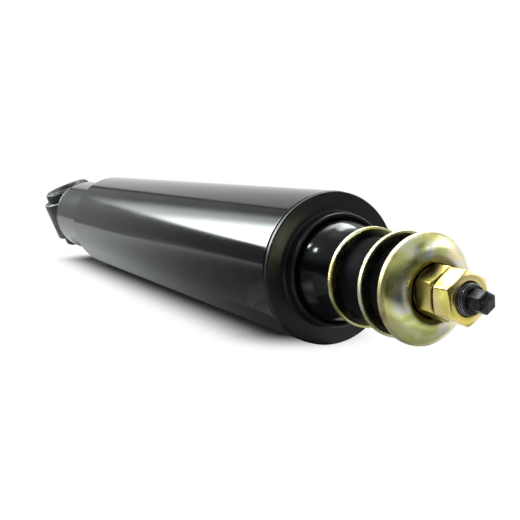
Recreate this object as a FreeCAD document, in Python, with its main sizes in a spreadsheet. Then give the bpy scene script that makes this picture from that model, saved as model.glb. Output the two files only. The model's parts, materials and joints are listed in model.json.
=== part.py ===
import FreeCAD, Part
import math
import os
import re
import Sketcher

# Twin-tube truck shock absorber: a rubber-bushed eye at one end, a threaded stem mount at the other.
# Millimetres. The origin is the centre of the eye, +X runs along the rod towards the stem, +Z is up.
# The shock absorber lies on its dust cover, at mid stroke, with the eye leaning as it was laid down.

# Driving sizes
SIZES = {
    # Eye ring and its rubber bush
    "eye_lean": 22,
    "ring_bore_d": 48,
    "ring_wall": 6,
    "ring_length": 41,
    "ring_chamfer": 1.5,
    "bush_length": 62,
    "bush_bore_d": 28,
    "bush_flare": 2.5,
    "bush_flare_depth": 3,
    "bush_bulge": 0.6,
    "bush_chamfer": 2.5,
    # Base cap between the eye and the reservoir
    "eye_neck": 18.5,
    "neck_inset": 1.5,
    "neck_run": 6,
    "cap_floor": 8.5,
    "cap_skirt": 11,
    "cap_wall": 3,
    # Tubes
    "pressure_bore_d": 45,
    "pressure_wall": 2,
    "oil_gap": 8,
    "reservoir_wall": 2.5,
    "tube_chamfer": 0.6,
    # Travel from the pose in which it lies, and the room left at both ends of the stroke
    "compress_travel": 68,
    "extend_travel": 180,
    "floor_clearance": 2.5,
    "bumper_clearance": 0.7,
    "cover_headroom": 6,
    # Foot valve
    "valve_skirt": 12,
    "valve_skirt_wall": 4.5,
    "valve_slot_width": 6,
    "valve_slot_depth": 6,
    "valve_plate": 12,
    "valve_flange": 6,
    "valve_boss_d": 16,
    "valve_pin_d": 8,
    "valve_pin_head_d": 14,
    "valve_pin_head": 4,
    "valve_pin_end": 1.5,
    "valve_nut_af": 13,
    "valve_nut_height": 6,
    # Ports, spring discs and check plates of both valves
    "port_d": 4.6,
    "outer_port_edge": 5.5,
    "inner_port_edge": 3,
    "disc_thickness": 0.6,
    "disc_overlap": 0.3,
    "disc_step": 2,
    "plate_thickness": 1,
    "plate_lift": 1.2,
    "plate_spare": 0.8,
    "plate_margin": 1.5,
    "plate_seat_gap": 0.05,
    "plate_guide_gap": 0.1,
    "spring_thickness": 0.5,
    "spring_finger": 5,
    # Piston and rod
    "rod_d": 20,
    "stud_d": 14,
    "rod_end_margin": 1.5,
    "piston_length": 22,
    "piston_gap": 0.3,
    "piston_boss_wall": 2,
    "band_width": 10,
    "band_depth": 2,
    "band_play": 0.1,
    "backing_plate": 3,
    "backing_plate_margin": 6.5,
    "bumper_length": 12,
    "bumper_margin": 4.5,
    # Head of the cylinder
    "guide_spigot": 12,
    "guide_flange": 10,
    "guide_bush_wall": 2,
    "guide_bush_inset": 1,
    "seal_section": 11,
    "seal_height": 8,
    "seal_lip": 2,
    "seal_hollow": 1.2,
    "ring_seal_width": 3.5,
    "ring_seal_height": 3,
    "ring_seal_room": 0.1,
    "gland_roof": 6,
    "gland_bore_gap": 2,
    "notch_width": 6,
    "notch_depth": 3,
    # Dust cover, its end plate and the dome
    "cover_length": 368,
    "cover_gap": 5.5,
    "cover_wall": 1.5,
    "end_plate": 2,
    "plate_rim": 2.5,
    "plate_rim_inset": 0.3,
    "plate_rim_chamfer": 0.7,
    "plate_skirt": 4.5,
    "plate_skirt_wall": 2,
    "seam_gap": 0.4,
    "collar_gap": 0.9,
    "collar_wall": 2.4,
    "collar_height": 7.4,
    "collar_root": 1.5,
    "lip_chamfer": 0.8,
    "dome_d": 55,
    "dome_lift": 3.83,
    "dome_wall": 2.5,
    "dome_top": 3,
    "dome_seat_d": 28,
    "dome_flange": 2,
    "dome_flange_width": 4.5,
    # Stem mount: cup washers, cushions and nuts
    "stem_gap": 0.3,
    "washer_thickness": 2.5,
    "washer_d": 51.2,
    "washer_flange": 8.6,
    "washer_dish": 4,
    "washer_rim": 2.2,
    "washer_land": 1.2,
    "top_washer_overhang": 0.6,
    "top_washer_depth": 4.4,
    "top_washer_radius": 16,
    "recess_gap": 0.8,
    "recess_depth": 1.3,
    "cushion_inset": 4.6,
    "cushion_length": 21.5,
    "cushion_edge": 2,
    "cushion_seat_gap": 0.5,
    "cushion_foot": 4,
    "cushion_nose": 6,
    "nut_af": 22,
    "nut_height": 11,
    "nut_bevel": 1.6,
    "mounting_nut_turn": 31,
    "lock_nut_turn": 37,
    "thread_end": 3,
    "thread_chamfer": 0.8,
    "tip_af": 9,
    "tip_length": 7.5,
    "tip_bevel": 0.8,
    "tip_turn": 35,
    # Clearances that repeat
    "fit_gap": 0.05,
    "running_gap": 0.05,
    "cut_margin": 1,
}

# Numbers of repeated features
PORTS = 4
OIL_SLOTS = 4
SPANNER_NOTCHES = 4
SPRING_FINGERS = 3
DISCS = 3
FULL_TURN = 360

# Sizes and places that follow from the driving sizes: radii first, then stations along the rod
DERIVED = {
    "ring_bore_r": "ring_bore_d / 2",
    "ring_r": "ring_bore_r + ring_wall",
    "bush_collar_r": "ring_bore_r + bush_bulge",
    "neck_r": "ring_length / 2 - neck_inset",
    "pressure_bore_r": "pressure_bore_d / 2",
    "pressure_r": "pressure_bore_r + pressure_wall",
    "inside_pressure_r": "pressure_bore_r - fit_gap",
    "reservoir_bore_r": "pressure_r + oil_gap",
    "reservoir_r": "reservoir_bore_r + reservoir_wall",
    "inside_reservoir_r": "reservoir_bore_r - fit_gap",
    "cover_bore_r": "reservoir_r + cover_gap",
    "cover_r": "cover_bore_r + cover_wall",
    "rod_r": "rod_d / 2",
    "stud_r": "stud_d / 2",
    "stem_hole_r": "stud_r + stem_gap",
    "tight_hole_r": "stud_r + fit_gap",
    "pin_r": "valve_pin_d / 2",
    "pin_hole_r": "pin_r + fit_gap",
    "valve_boss_r": "valve_boss_d / 2",
    "piston_boss_r": "tight_hole_r + piston_boss_wall",
    "piston_r": "pressure_bore_r - piston_gap",
    "band_floor_r": "piston_r - band_depth",
    "plate_r": "pressure_bore_r - plate_margin",
    "outer_port_r": "pressure_bore_r - outer_port_edge",
    "valve_port_r": "valve_boss_r + inner_port_edge",
    "piston_port_r": "piston_boss_r + inner_port_edge",
    "seal_r": "rod_r + seal_section",
    "gland_inner_r": "seal_r + fit_gap",
    "gland_bore_r": "rod_r + gland_bore_gap",
    "guide_bore_r": "rod_r + running_gap + guide_bush_wall + fit_gap",
    "dome_r": "dome_d / 2",
    "dome_inner_r": "dome_r - dome_wall",
    "dome_seat_r": "dome_seat_d / 2",
    "collar_bore_r": "dome_r + collar_gap",
    "collar_r": "collar_bore_r + collar_wall",
    "plate_rim_r": "cover_r - plate_rim_inset",
    "nut_corner_r": "nut_af / sqrt(3)",
    "recess_r": "nut_corner_r + recess_gap",
    "washer_r": "washer_d / 2",
    "washer_flat_r": "washer_r - washer_flange",
    "top_washer_r": "washer_r + top_washer_overhang",
    "cushion_r": "washer_r - cushion_inset",
    "boss_height": "plate_thickness + plate_lift + plate_spare",
    "reservoir_start": "ring_r + eye_neck",
    "cap_floor_x": "reservoir_start + cap_floor",
    "valve_x": "cap_floor_x + valve_skirt",
    "tube_seat_x": "valve_x + valve_flange",
    "valve_top_x": "valve_x + valve_plate",
    "valve_boss_x": "valve_top_x + boss_height",
    "valve_nut_x": "valve_boss_x + spring_thickness",
    "valve_pin_x": "valve_nut_x + valve_nut_height + valve_pin_end",
    "rod_end_x": "valve_pin_x + floor_clearance + compress_travel",
    "piston_nut_x": "rod_end_x + rod_end_margin",
    "rebound_x": "piston_nut_x + nut_height",
    "piston_x": f"rebound_x + {DISCS} * disc_thickness",
    "piston_top_x": "piston_x + piston_length",
    "band_x": "piston_x + (piston_length - band_width) / 2",
    "piston_boss_x": "piston_top_x + boss_height",
    "backing_x": "piston_boss_x + spring_thickness",
    "shoulder_x": "backing_x + backing_plate",
    "bumper_end_x": "shoulder_x + bumper_length",
    "guide_x": "bumper_end_x + extend_travel + bumper_clearance",
    "guide_flange_x": "guide_x + guide_spigot",
    "guide_top_x": "guide_flange_x + guide_flange",
    "seal_top_x": "guide_top_x + seal_height",
    "gland_top_x": "seal_top_x + gland_roof",
    "plate_inside_x": "gland_top_x + compress_travel + cover_headroom",
    "cover_end_x": "plate_inside_x + end_plate",
    "cover_start_x": "cover_end_x - cover_length",
    "seam_x": "cover_end_x - plate_rim",
    "collar_x": "cover_end_x + collar_height",
    "dome_centre_x": "cover_end_x + dome_lift",
    "stem_seat_x": "dome_centre_x + sqrt(dome_r ^ 2 - dome_seat_r ^ 2)",
    "dome_inside_x": "stem_seat_x - dome_top",
    "dome_inner_seat_r": "sqrt(dome_inner_r ^ 2 - (dome_inside_x - dome_centre_x) ^ 2)",
    "lower_cushion_x": "stem_seat_x + washer_thickness",
    "middle_washer_x": "lower_cushion_x + cushion_length",
    "upper_cushion_x": "middle_washer_x + washer_thickness",
    "top_washer_x": "upper_cushion_x + cushion_length",
    "mounting_nut_x": "top_washer_x + washer_thickness",
    "lock_nut_x": "mounting_nut_x + nut_height",
    "thread_x": "lock_nut_x + nut_height",
    "tip_x": "thread_x + thread_end",
    "rod_tip_x": "tip_x + tip_length",
}

doc = FreeCAD.newDocument("shock_absorber")
nodes = []


def linked(formula, own_sheet=None):
    """Point the size names in a formula at the sheet that holds them."""
    def with_sheet(match):
        word = match.group(0)
        if word in SIZES:
            return f"Sizes.{word}"
        if word in DERIVED and own_sheet != "Derived":
            return f"Derived.{word}"
        return word
    return re.sub(r"[a-z]\w*", with_sheet, formula)


def fill_sheets():
    """Put the driving sizes in one sheet and what follows from them in another."""
    sizes = doc.addObject("Spreadsheet::Sheet", "Sizes")
    for row, (name, value) in enumerate(SIZES.items(), start=1):
        sizes.set(f"A{row}", name)
        sizes.set(f"B{row}", str(value))
        sizes.setAlias(f"B{row}", name)
    derived = doc.addObject("Spreadsheet::Sheet", "Derived")
    for row, (name, formula) in enumerate(DERIVED.items(), start=1):
        derived.set(f"A{row}", name)
        derived.set(f"B{row}", "=" + linked(formula, own_sheet="Derived"))
        derived.setAlias(f"B{row}", name)
    doc.recompute()


def value(formula):
    """The present value of a formula."""
    return float(doc.Sizes.evalExpression(linked(formula).replace("Sizes.", "")))


def bind(item, place, formula):
    """Tie a property or a constraint to a formula."""
    item.setExpression(place, linked(formula))


def new_body(name, lean=None, station=None):
    """An empty sub-part, turned about X by `lean` and moved along X to `station`."""
    body = doc.addObject("PartDesign::Body", name)
    body.Label = name
    if lean:
        body.Placement = FreeCAD.Placement(FreeCAD.Vector(), FreeCAD.Rotation(FreeCAD.Vector(1, 0, 0), 1))
        bind(body, "Placement.Rotation.Angle", lean)
    if station:
        bind(body, "Placement.Base.x", station)
    return body


def origin_item(body, role):
    """A plane or an axis of a sub-part's own origin."""
    return next(item for item in body.Origin.OriginFeatures if item.Role == role)


def new_sketch(body, name, plane, station=None):
    """An empty sketch on an origin plane, lifted off it to `station`."""
    sketch = body.newObject("Sketcher::SketchObject", name)
    sketch.AttachmentSupport = (origin_item(body, plane), [""])
    sketch.MapMode = "FlatFace"
    if station:
        bind(sketch, "AttachmentOffset.Base.z", station)
    return sketch


def arc_between(start, end, radius):
    """The short arc from start to end; a positive radius turns left, a negative one turns right."""
    chord = end - start
    across = math.sqrt(radius ** 2 - (chord.Length / 2) ** 2)
    to_left = FreeCAD.Vector(-chord.y, chord.x, 0).normalize()
    centre = (start + end) * 0.5 + to_left * math.copysign(across, radius)
    first, last = (start, end) if radius > 0 else (end, start)
    circle = Part.Circle(centre, FreeCAD.Vector(0, 0, 1), abs(radius))
    angles = [math.atan2(point.y - centre.y, point.x - centre.x) for point in (first, last)]
    return Part.ArcOfCircle(circle, *angles)


def draw_outline(sketch, corners):
    """Draw a closed outline, anticlockwise, from corners given as formulas (across, up).

    A third item is the radius of the arc to the next corner; with a minus sign the arc is hollow.
    """
    points = [FreeCAD.Vector(value(corner[0]), value(corner[1]), 0) for corner in corners]
    start_vertex, end_vertex, edges, bound = [], [], [], []
    constraints = []
    for index, corner in enumerate(corners):
        start, end = points[index], points[(index + 1) % len(points)]
        radius = corner[2] if len(corner) > 2 else None
        if radius is None:
            edge = Part.LineSegment(start, end)
        else:
            edge = arc_between(start, end, value(radius))
        edges.append(sketch.addGeometry(edge, False))
        hollow = radius is not None and radius.startswith("-")
        start_vertex.append(2 if hollow else 1)
        end_vertex.append(1 if hollow else 2)
    for index, edge in enumerate(edges):
        after = (index + 1) % len(edges)
        joined = (edge, end_vertex[index], edges[after], start_vertex[after])
        constraints.append(Sketcher.Constraint("Coincident", *joined))
    for index, corner in enumerate(corners):
        vertex = (edges[index], start_vertex[index])
        for kind, formula, place, axis in (("DistanceX", corner[0], points[index].x, -2),
                                           ("DistanceY", corner[1], points[index].y, -1)):
            if formula == "0":
                constraints.append(Sketcher.Constraint("PointOnObject", *vertex, axis))
            else:
                bound.append((len(constraints), formula))
                constraints.append(Sketcher.Constraint(kind, -1, 1, *vertex, place))
        if len(corner) > 2:
            radius = corner[2].lstrip("-")
            bound.append((len(constraints), radius))
            constraints.append(Sketcher.Constraint("Radius", edges[index], value(radius)))
    first = sketch.ConstraintCount
    sketch.addConstraint(constraints)
    for index, formula in bound:
        bind(sketch, f"Constraints[{first + index}]", formula)


def draw_circle(sketch, across, up, radius):
    """Draw a circle whose centre and radius are formulas."""
    centre = FreeCAD.Vector(value(across), value(up), 0)
    circle = Part.Circle(centre, FreeCAD.Vector(0, 0, 1), value(radius))
    edge = sketch.addGeometry(circle, False)
    centre_vertex = 3
    for kind, formula, place, axis in (("DistanceX", across, centre.x, -2),
                                       ("DistanceY", up, centre.y, -1)):
        if formula == "0":
            sketch.addConstraint(Sketcher.Constraint("PointOnObject", edge, centre_vertex, axis))
        else:
            index = sketch.addConstraint(Sketcher.Constraint(kind, -1, 1, edge, centre_vertex, place))
            bind(sketch, f"Constraints[{index}]", formula)
    index = sketch.addConstraint(Sketcher.Constraint("Radius", edge, value(radius)))
    bind(sketch, f"Constraints[{index}]", radius)


def draw_hexagon(sketch, across_flats):
    """Draw a hexagon round the centre, with a corner on the sketch's first axis."""
    corner = f"{across_flats} / sqrt(3)"
    half = f"{across_flats} / sqrt(3) / 2"
    flat = f"{across_flats} / 2"
    draw_outline(sketch, [(corner, "0"), (half, flat), (f"-{half}", flat),
                          (f"-{corner}", "0"), (f"-{half}", f"-{flat}"), (half, f"-{flat}")])


def turned(name, corners, axis="H_Axis", lean=None, node=True):
    """A turned sub-part: an outline in the XZ plane, revolved about one of its axes."""
    body = new_body(name, lean=lean)
    sketch = new_sketch(body, f"{name}_outline", "XZ_Plane")
    draw_outline(sketch, corners)
    revolution = body.newObject("PartDesign::Revolution", f"{name}_revolution")
    revolution.Profile = sketch
    revolution.ReferenceAxis = (sketch, [axis])
    revolution.Angle = FULL_TURN
    if node:
        nodes.append(body)
    return body


def ring(name, start, end, inner, outer):
    """A plain ring between two stations."""
    return turned(name, [(start, inner), (end, inner), (end, outer), (start, outer)])


def cut_pattern(body, name, sketch, count, depth=None, forward=True):
    """Cut a sketch through the sub-part, or to a depth, and repeat the cut round the rod axis."""
    doc.recompute()
    before = body.Shape.Volume
    pocket = body.newObject("PartDesign::Pocket", f"{name}_pocket")
    pocket.Profile = sketch
    pocket.Reversed = forward
    if depth:
        bind(pocket, "Length", depth)
    else:
        pocket.Type = "ThroughAll"
    repeat_round_axis(body, name, pocket, count)
    if not body.Shape.Volume < before:
        raise RuntimeError(f"{name} cuts nothing")


def repeat_round_axis(body, name, feature, count):
    """Repeat a feature evenly round the rod axis."""
    pattern = body.newObject("PartDesign::PolarPattern", f"{name}_pattern")
    pattern.Originals = [feature]
    pattern.Axis = (origin_item(body, "X_Axis"), [""])
    pattern.Angle = FULL_TURN
    pattern.Occurrences = count
    body.Tip = pattern
    doc.recompute()


def cut_outer_ports(body, name):
    """The ring of ports near the bore."""
    sketch = new_sketch(body, f"{name}_outer_port", "YZ_Plane")
    draw_circle(sketch, "outer_port_r", "0", "port_d / 2")
    cut_pattern(body, f"{name}_outer_ports", sketch, PORTS)


def cut_inner_ports(body, name, circle_radius):
    """The ring of ports near the boss, half a pitch round from the outer ones."""
    sketch = new_sketch(body, f"{name}_inner_port", "YZ_Plane")
    along = f"{circle_radius} / sqrt(2)"
    draw_circle(sketch, along, along, "port_d / 2")
    cut_pattern(body, f"{name}_inner_ports", sketch, PORTS)


def cut_slots(body, name, inner, outer, width, station, depth, count, forward):
    """Radial slots cut into an end face."""
    sketch = new_sketch(body, f"{name}_slot", "YZ_Plane", station)
    near, far = f"{inner} - cut_margin", f"{outer} + cut_margin"
    side = f"{width} / 2"
    draw_outline(sketch, [(near, f"-{side}"), (far, f"-{side}"), (far, side), (near, side)])
    cut_pattern(body, f"{name}_slots", sketch, count, depth, forward)


def add_prism(body, name, across_flats, length, station=None):
    """A hexagonal prism along the rod axis."""
    sketch = new_sketch(body, f"{name}_hexagon", "YZ_Plane", station)
    draw_hexagon(sketch, across_flats)
    pad = body.newObject("PartDesign::Pad", f"{name}_pad")
    pad.Profile = sketch
    bind(pad, "Length", length)


def bevel_corners(body, name, across_flats, bevel, ends):
    """Turn the corners of a hexagon down at 30 degrees; each end is (station, sign of the way in)."""
    face_r = f"({across_flats} - {bevel}) / 2"
    clear_r = f"{across_flats} / sqrt(3) + cut_margin"
    depth = f"({clear_r} - {face_r}) / sqrt(3)"
    sketch = new_sketch(body, f"{name}_bevel_outline", "XZ_Plane")
    for station, way_in in ends:
        inside = (f"{station} {way_in} {depth}", clear_r)
        outline = [(station, face_r), inside, (station, clear_r)]
        draw_outline(sketch, outline if way_in == "+" else outline[:1] + outline[:0:-1])
    groove = body.newObject("PartDesign::Groove", f"{name}_bevel")
    groove.Profile = sketch
    groove.ReferenceAxis = (sketch, ["H_Axis"])
    groove.Angle = FULL_TURN


def hex_nut(name, station, across_flats, height, bevel, hole_radius, turn=None):
    """A hexagon nut, bevelled at both ends."""
    body = new_body(name, lean=turn, station=station)
    add_prism(body, name, across_flats, height)
    bevel_corners(body, name, across_flats, bevel, [("0", "+"), (height, "-")])
    hole = new_sketch(body, f"{name}_hole", "YZ_Plane")
    draw_circle(hole, "0", "0", hole_radius)
    pocket = body.newObject("PartDesign::Pocket", f"{name}_bore")
    pocket.Profile = hole
    pocket.Type = "ThroughAll"
    pocket.Reversed = True
    nodes.append(body)


def make_eye():
    """The eye ring and the rubber bush that is pressed into it, about the leaning eye axis."""
    half_ring = "ring_length / 2"
    turned("eye_ring", [
        ("ring_bore_r", f"-{half_ring}"),
        ("ring_r - ring_chamfer", f"-{half_ring}"),
        ("ring_r", f"-({half_ring} - ring_chamfer)"),
        ("ring_r", f"{half_ring} - ring_chamfer"),
        ("ring_r - ring_chamfer", half_ring),
        ("ring_bore_r", half_ring),
    ], axis="V_Axis", lean="eye_lean")
    half_bush = "bush_length / 2"
    bore = "bush_bore_d / 2"
    mouth = "bush_bore_d / 2 + bush_flare"
    straight = f"({half_bush} - bush_flare_depth)"
    shoulder = f"({half_bush} - bush_chamfer)"
    turned("eye_bush", [
        (bore, f"-{straight}"),
        (mouth, f"-{half_bush}"),
        ("bush_collar_r - bush_chamfer", f"-{half_bush}"),
        ("bush_collar_r", f"-{shoulder}"),
        ("bush_collar_r", f"-({half_ring} + fit_gap)"),
        ("ring_bore_r - fit_gap", f"-({half_ring} + fit_gap)"),
        ("ring_bore_r - fit_gap", f"{half_ring} + fit_gap"),
        ("bush_collar_r", f"{half_ring} + fit_gap"),
        ("bush_collar_r", shoulder),
        ("bush_collar_r - bush_chamfer", half_bush),
        (mouth, half_bush),
        (bore, straight),
    ], axis="V_Axis", lean="eye_lean")


def make_base_cap():
    """The funnel-shaped cap that closes the reservoir, with its neck cut to a saddle for the eye ring."""
    blank = turned("base_cap_blank", [
        ("ring_r / 2", "0"),
        ("cap_floor_x", "0"),
        ("cap_floor_x", "inside_reservoir_r - cap_wall"),
        ("cap_floor_x + cap_skirt", "inside_reservoir_r - cap_wall"),
        ("cap_floor_x + cap_skirt", "inside_reservoir_r"),
        ("reservoir_start", "inside_reservoir_r"),
        ("ring_r + neck_run", "neck_r"),
        ("ring_r / 2", "neck_r"),
    ], node=False)
    saddle = turned("ring_saddle", [
        ("0", "-ring_length"),
        ("ring_r + fit_gap", "-ring_length"),
        ("ring_r + fit_gap", "ring_length"),
        ("0", "ring_length"),
    ], axis="V_Axis", lean="eye_lean", node=False)
    cap = doc.addObject("Part::Cut", "base_cap")
    cap.Label = "base_cap"
    cap.Base = blank
    cap.Tool = saddle
    nodes.append(cap)


def make_tube(name, start, end, inner, outer):
    """A tube with its outer edges broken."""
    turned(name, [
        (start, inner),
        (end, inner),
        (end, f"{outer} - tube_chamfer"),
        (f"{end} - tube_chamfer", outer),
        (f"{start} + tube_chamfer", outer),
        (start, f"{outer} - tube_chamfer"),
    ])


def make_discs(name, station, way_out, first_radius, hole):
    """A stack of thin spring discs, each smaller than the last, against a valve face."""
    for number in range(DISCS):
        near = f"{station} {way_out} {number} * disc_thickness"
        far = f"{station} {way_out} {number + 1} * disc_thickness"
        start, end = (near, far) if way_out == "+" else (far, near)
        ring(f"{name}_{number + 1}", start, end, hole, f"{first_radius} - {number} * disc_step")


def make_check_plate(name, face, boss, port_circle):
    """The lifting plate that covers the outer ports and has openings over the inner ones."""
    seat = f"{face} + plate_seat_gap"
    plate = ring(name, seat, f"{seat} + plate_thickness", f"{boss} + plate_guide_gap", "plate_r")
    cut_inner_ports(plate, name, port_circle)


def make_star_spring(name, station, hole, hub):
    """A thin star-shaped spring, drawn flat as at full lift, whose fingers reach over the check plate."""
    body = ring(name, station, f"{station} + spring_thickness", hole, hub)
    sketch = new_sketch(body, f"{name}_finger", "YZ_Plane", station)
    root = f"({hole} + {hub}) / 2"
    draw_outline(sketch, [(root, "-spring_finger / 2"), ("outer_port_r", "-spring_finger / 2"),
                          ("outer_port_r", "spring_finger / 2"), (root, "spring_finger / 2")])
    finger = body.newObject("PartDesign::Pad", f"{name}_finger_pad")
    finger.Profile = sketch
    bind(finger, "Length", "spring_thickness")
    repeat_round_axis(body, f"{name}_fingers", finger, SPRING_FINGERS)


def make_foot_valve():
    """The foot valve, which stands on the base cap and carries the pressure tube."""
    skirt_r = "pressure_r - valve_skirt_wall"
    body = turned("base_valve_body", [
        ("valve_x", "pin_hole_r"),
        ("valve_boss_x", "pin_hole_r"),
        ("valve_boss_x", "valve_boss_r"),
        ("valve_top_x", "valve_boss_r"),
        ("valve_top_x", "inside_pressure_r"),
        ("tube_seat_x", "inside_pressure_r"),
        ("tube_seat_x", "pressure_r"),
        ("cap_floor_x", "pressure_r"),
        ("cap_floor_x", skirt_r),
        ("valve_x", skirt_r),
    ])
    cut_outer_ports(body, "base_valve")
    cut_inner_ports(body, "base_valve", "valve_port_r")
    cut_slots(body, "oil", f"({skirt_r})", "pressure_r", "valve_slot_width", "cap_floor_x",
              "valve_slot_depth", OIL_SLOTS, forward=True)
    make_discs("compression_disc", "valve_x", "-", "valve_port_r + port_d / 2 + disc_overlap", "pin_hole_r")
    head_x = f"valve_x - {DISCS} * disc_thickness"
    turned("base_valve_pin", [
        (f"{head_x} - valve_pin_head", "0"),
        ("valve_pin_x", "0"),
        ("valve_pin_x", "pin_r"),
        (head_x, "pin_r"),
        (head_x, "valve_pin_head_d / 2"),
        (f"{head_x} - valve_pin_head", "valve_pin_head_d / 2"),
    ])
    make_check_plate("intake_plate", "valve_top_x", "valve_boss_r", "valve_port_r")
    make_star_spring("intake_spring", "valve_boss_x", "pin_hole_r", "valve_boss_r")
    hex_nut("base_valve_nut", "valve_nut_x", "valve_nut_af", "valve_nut_height", "nut_bevel", "pin_hole_r")


def make_piston():
    """The piston with its band, spring discs, check valve, nut and rebound bumper."""
    body = turned("piston", [
        ("piston_x", "tight_hole_r"),
        ("piston_boss_x", "tight_hole_r"),
        ("piston_boss_x", "piston_boss_r"),
        ("piston_top_x", "piston_boss_r"),
        ("piston_top_x", "piston_r"),
        ("band_x + band_width", "piston_r"),
        ("band_x + band_width", "band_floor_r"),
        ("band_x", "band_floor_r"),
        ("band_x", "piston_r"),
        ("piston_x", "piston_r"),
    ])
    cut_outer_ports(body, "piston")
    cut_inner_ports(body, "piston", "piston_port_r")
    ring("piston_band", "band_x + band_play", "band_x + band_width - band_play",
         "band_floor_r + running_gap", "pressure_bore_r - running_gap")
    make_discs("rebound_disc", "piston_x", "-", "piston_port_r + port_d / 2 + disc_overlap", "tight_hole_r")
    hex_nut("piston_nut", "piston_nut_x", "nut_af", "nut_height", "nut_bevel", "tight_hole_r")
    make_check_plate("check_plate", "piston_top_x", "piston_boss_r", "piston_port_r")
    make_star_spring("check_spring", "piston_boss_x", "tight_hole_r", "piston_boss_r")
    ring("backing_plate", "backing_x", "shoulder_x", "tight_hole_r",
         "pressure_bore_r - backing_plate_margin")
    bumper_r = "(pressure_bore_r - bumper_margin)"
    turned("rebound_bumper", [
        ("shoulder_x", "rod_r + fit_gap"),
        ("bumper_end_x", "rod_r + fit_gap"),
        ("bumper_end_x", f"(rod_r + {bumper_r}) / 2"),
        ("shoulder_x + bumper_length / 2", bumper_r),
        ("shoulder_x", bumper_r),
    ])


def make_rod():
    """The piston rod: spigot for the piston, ground stem, threaded stud and hexagon tip."""
    body = turned("piston_rod", [
        ("rod_end_x", "0"),
        ("tip_x", "0"),
        ("tip_x", "stud_r - thread_chamfer"),
        ("tip_x - thread_chamfer", "stud_r"),
        ("dome_inside_x", "stud_r"),
        ("dome_inside_x", "rod_r"),
        ("shoulder_x", "rod_r"),
        ("shoulder_x", "stud_r"),
        ("rod_end_x", "stud_r"),
    ], lean="tip_turn")
    add_prism(body, "tip", "tip_af", "tip_length", "tip_x")
    bevel_corners(body, "tip", "tip_af", "tip_bevel", [("rod_tip_x", "-")])


def make_head():
    """The closed head of the cylinder: rod guide with its bush, rod seal, ring seal and gland nut."""
    turned("rod_guide", [
        ("guide_x", "guide_bore_r"),
        ("guide_top_x", "guide_bore_r"),
        ("guide_top_x", "inside_reservoir_r"),
        ("guide_flange_x", "inside_reservoir_r"),
        ("guide_flange_x", "inside_pressure_r"),
        ("guide_x", "inside_pressure_r"),
    ])
    ring("guide_bush", "guide_x + guide_bush_inset", "guide_top_x - guide_bush_inset",
         "rod_r + running_gap", "guide_bore_r - fit_gap")
    lip_r = "rod_r + running_gap"
    turned("rod_seal", [
        ("guide_top_x", lip_r),
        ("guide_top_x + seal_lip", lip_r),
        ("guide_top_x + seal_lip + seal_hollow", f"{lip_r} + seal_hollow"),
        ("seal_top_x - seal_lip - seal_hollow", f"{lip_r} + seal_hollow"),
        ("seal_top_x - seal_lip", lip_r),
        ("seal_top_x", lip_r),
        ("seal_top_x", "seal_r"),
        ("guide_top_x", "seal_r"),
    ])
    ring_seal_r = "inside_reservoir_r - ring_seal_room"
    ring_seal_x = "guide_top_x + ring_seal_room"
    ring("guide_ring_seal", ring_seal_x, f"{ring_seal_x} + ring_seal_height",
         f"{ring_seal_r} - ring_seal_width", ring_seal_r)
    groove_x = "guide_top_x + ring_seal_height + 2 * ring_seal_room"
    groove_r = f"{ring_seal_r} - ring_seal_width - ring_seal_room"
    gland = turned("gland_nut", [
        ("guide_top_x", "gland_inner_r"),
        ("seal_top_x", "gland_inner_r"),
        ("seal_top_x", "gland_bore_r"),
        ("gland_top_x", "gland_bore_r"),
        ("gland_top_x", "inside_reservoir_r"),
        (groove_x, "inside_reservoir_r"),
        (groove_x, groove_r),
        ("guide_top_x", groove_r),
    ])
    cut_slots(gland, "spanner", "gland_inner_r", "inside_reservoir_r", "notch_width", "gland_top_x",
              "notch_depth", SPANNER_NOTCHES, forward=False)


def make_dust_cover():
    """The dust cover, its end plate with a turned-up collar, and the dome that fixes both to the rod."""
    make_tube("dust_cover", "cover_start_x", "seam_x - seam_gap", "cover_bore_r", "cover_r")
    skirt_r = "cover_bore_r - fit_gap"
    skirt_x = "seam_x - plate_skirt"
    turned("cover_end_plate", [
        ("plate_inside_x", "collar_bore_r"),
        ("collar_x - lip_chamfer", "collar_bore_r"),
        ("collar_x", "collar_bore_r + lip_chamfer"),
        ("collar_x", "collar_r - lip_chamfer"),
        ("collar_x - lip_chamfer", "collar_r"),
        ("cover_end_x + collar_root", "collar_r"),
        ("cover_end_x", "collar_r + collar_root"),
        ("cover_end_x", "plate_rim_r - plate_rim_chamfer"),
        ("cover_end_x - plate_rim_chamfer", "plate_rim_r"),
        ("seam_x", "plate_rim_r"),
        ("seam_x", skirt_r),
        (skirt_x, skirt_r),
        (skirt_x, f"{skirt_r} - plate_skirt_wall"),
        ("plate_inside_x", f"{skirt_r} - plate_skirt_wall"),
    ])
    flange_x = "plate_inside_x - dome_flange"
    turned("dome_cup", [
        (flange_x, "dome_inner_r"),
        ("dome_centre_x", "dome_inner_r", "-dome_inner_r"),
        ("dome_inside_x", "dome_inner_seat_r"),
        ("dome_inside_x", "tight_hole_r"),
        ("stem_seat_x", "tight_hole_r"),
        ("stem_seat_x", "dome_seat_r", "dome_r"),
        ("dome_centre_x", "dome_r"),
        ("plate_inside_x", "dome_r"),
        ("plate_inside_x", "dome_r + dome_flange_width"),
        (flange_x, "dome_r + dome_flange_width"),
    ])


def make_cup_washer(name, back):
    """A dished washer that opens towards the stem's tip."""
    front = f"{back} + washer_thickness"
    rim_x = f"{front} + washer_dish"
    turned(name, [
        (back, "stem_hole_r"),
        (front, "stem_hole_r"),
        (front, "washer_flat_r"),
        (rim_x, "washer_r - washer_land"),
        (rim_x, "washer_r"),
        (f"{rim_x} - washer_rim", "washer_r"),
        (back, "washer_flat_r + washer_land"),
    ])


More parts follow.
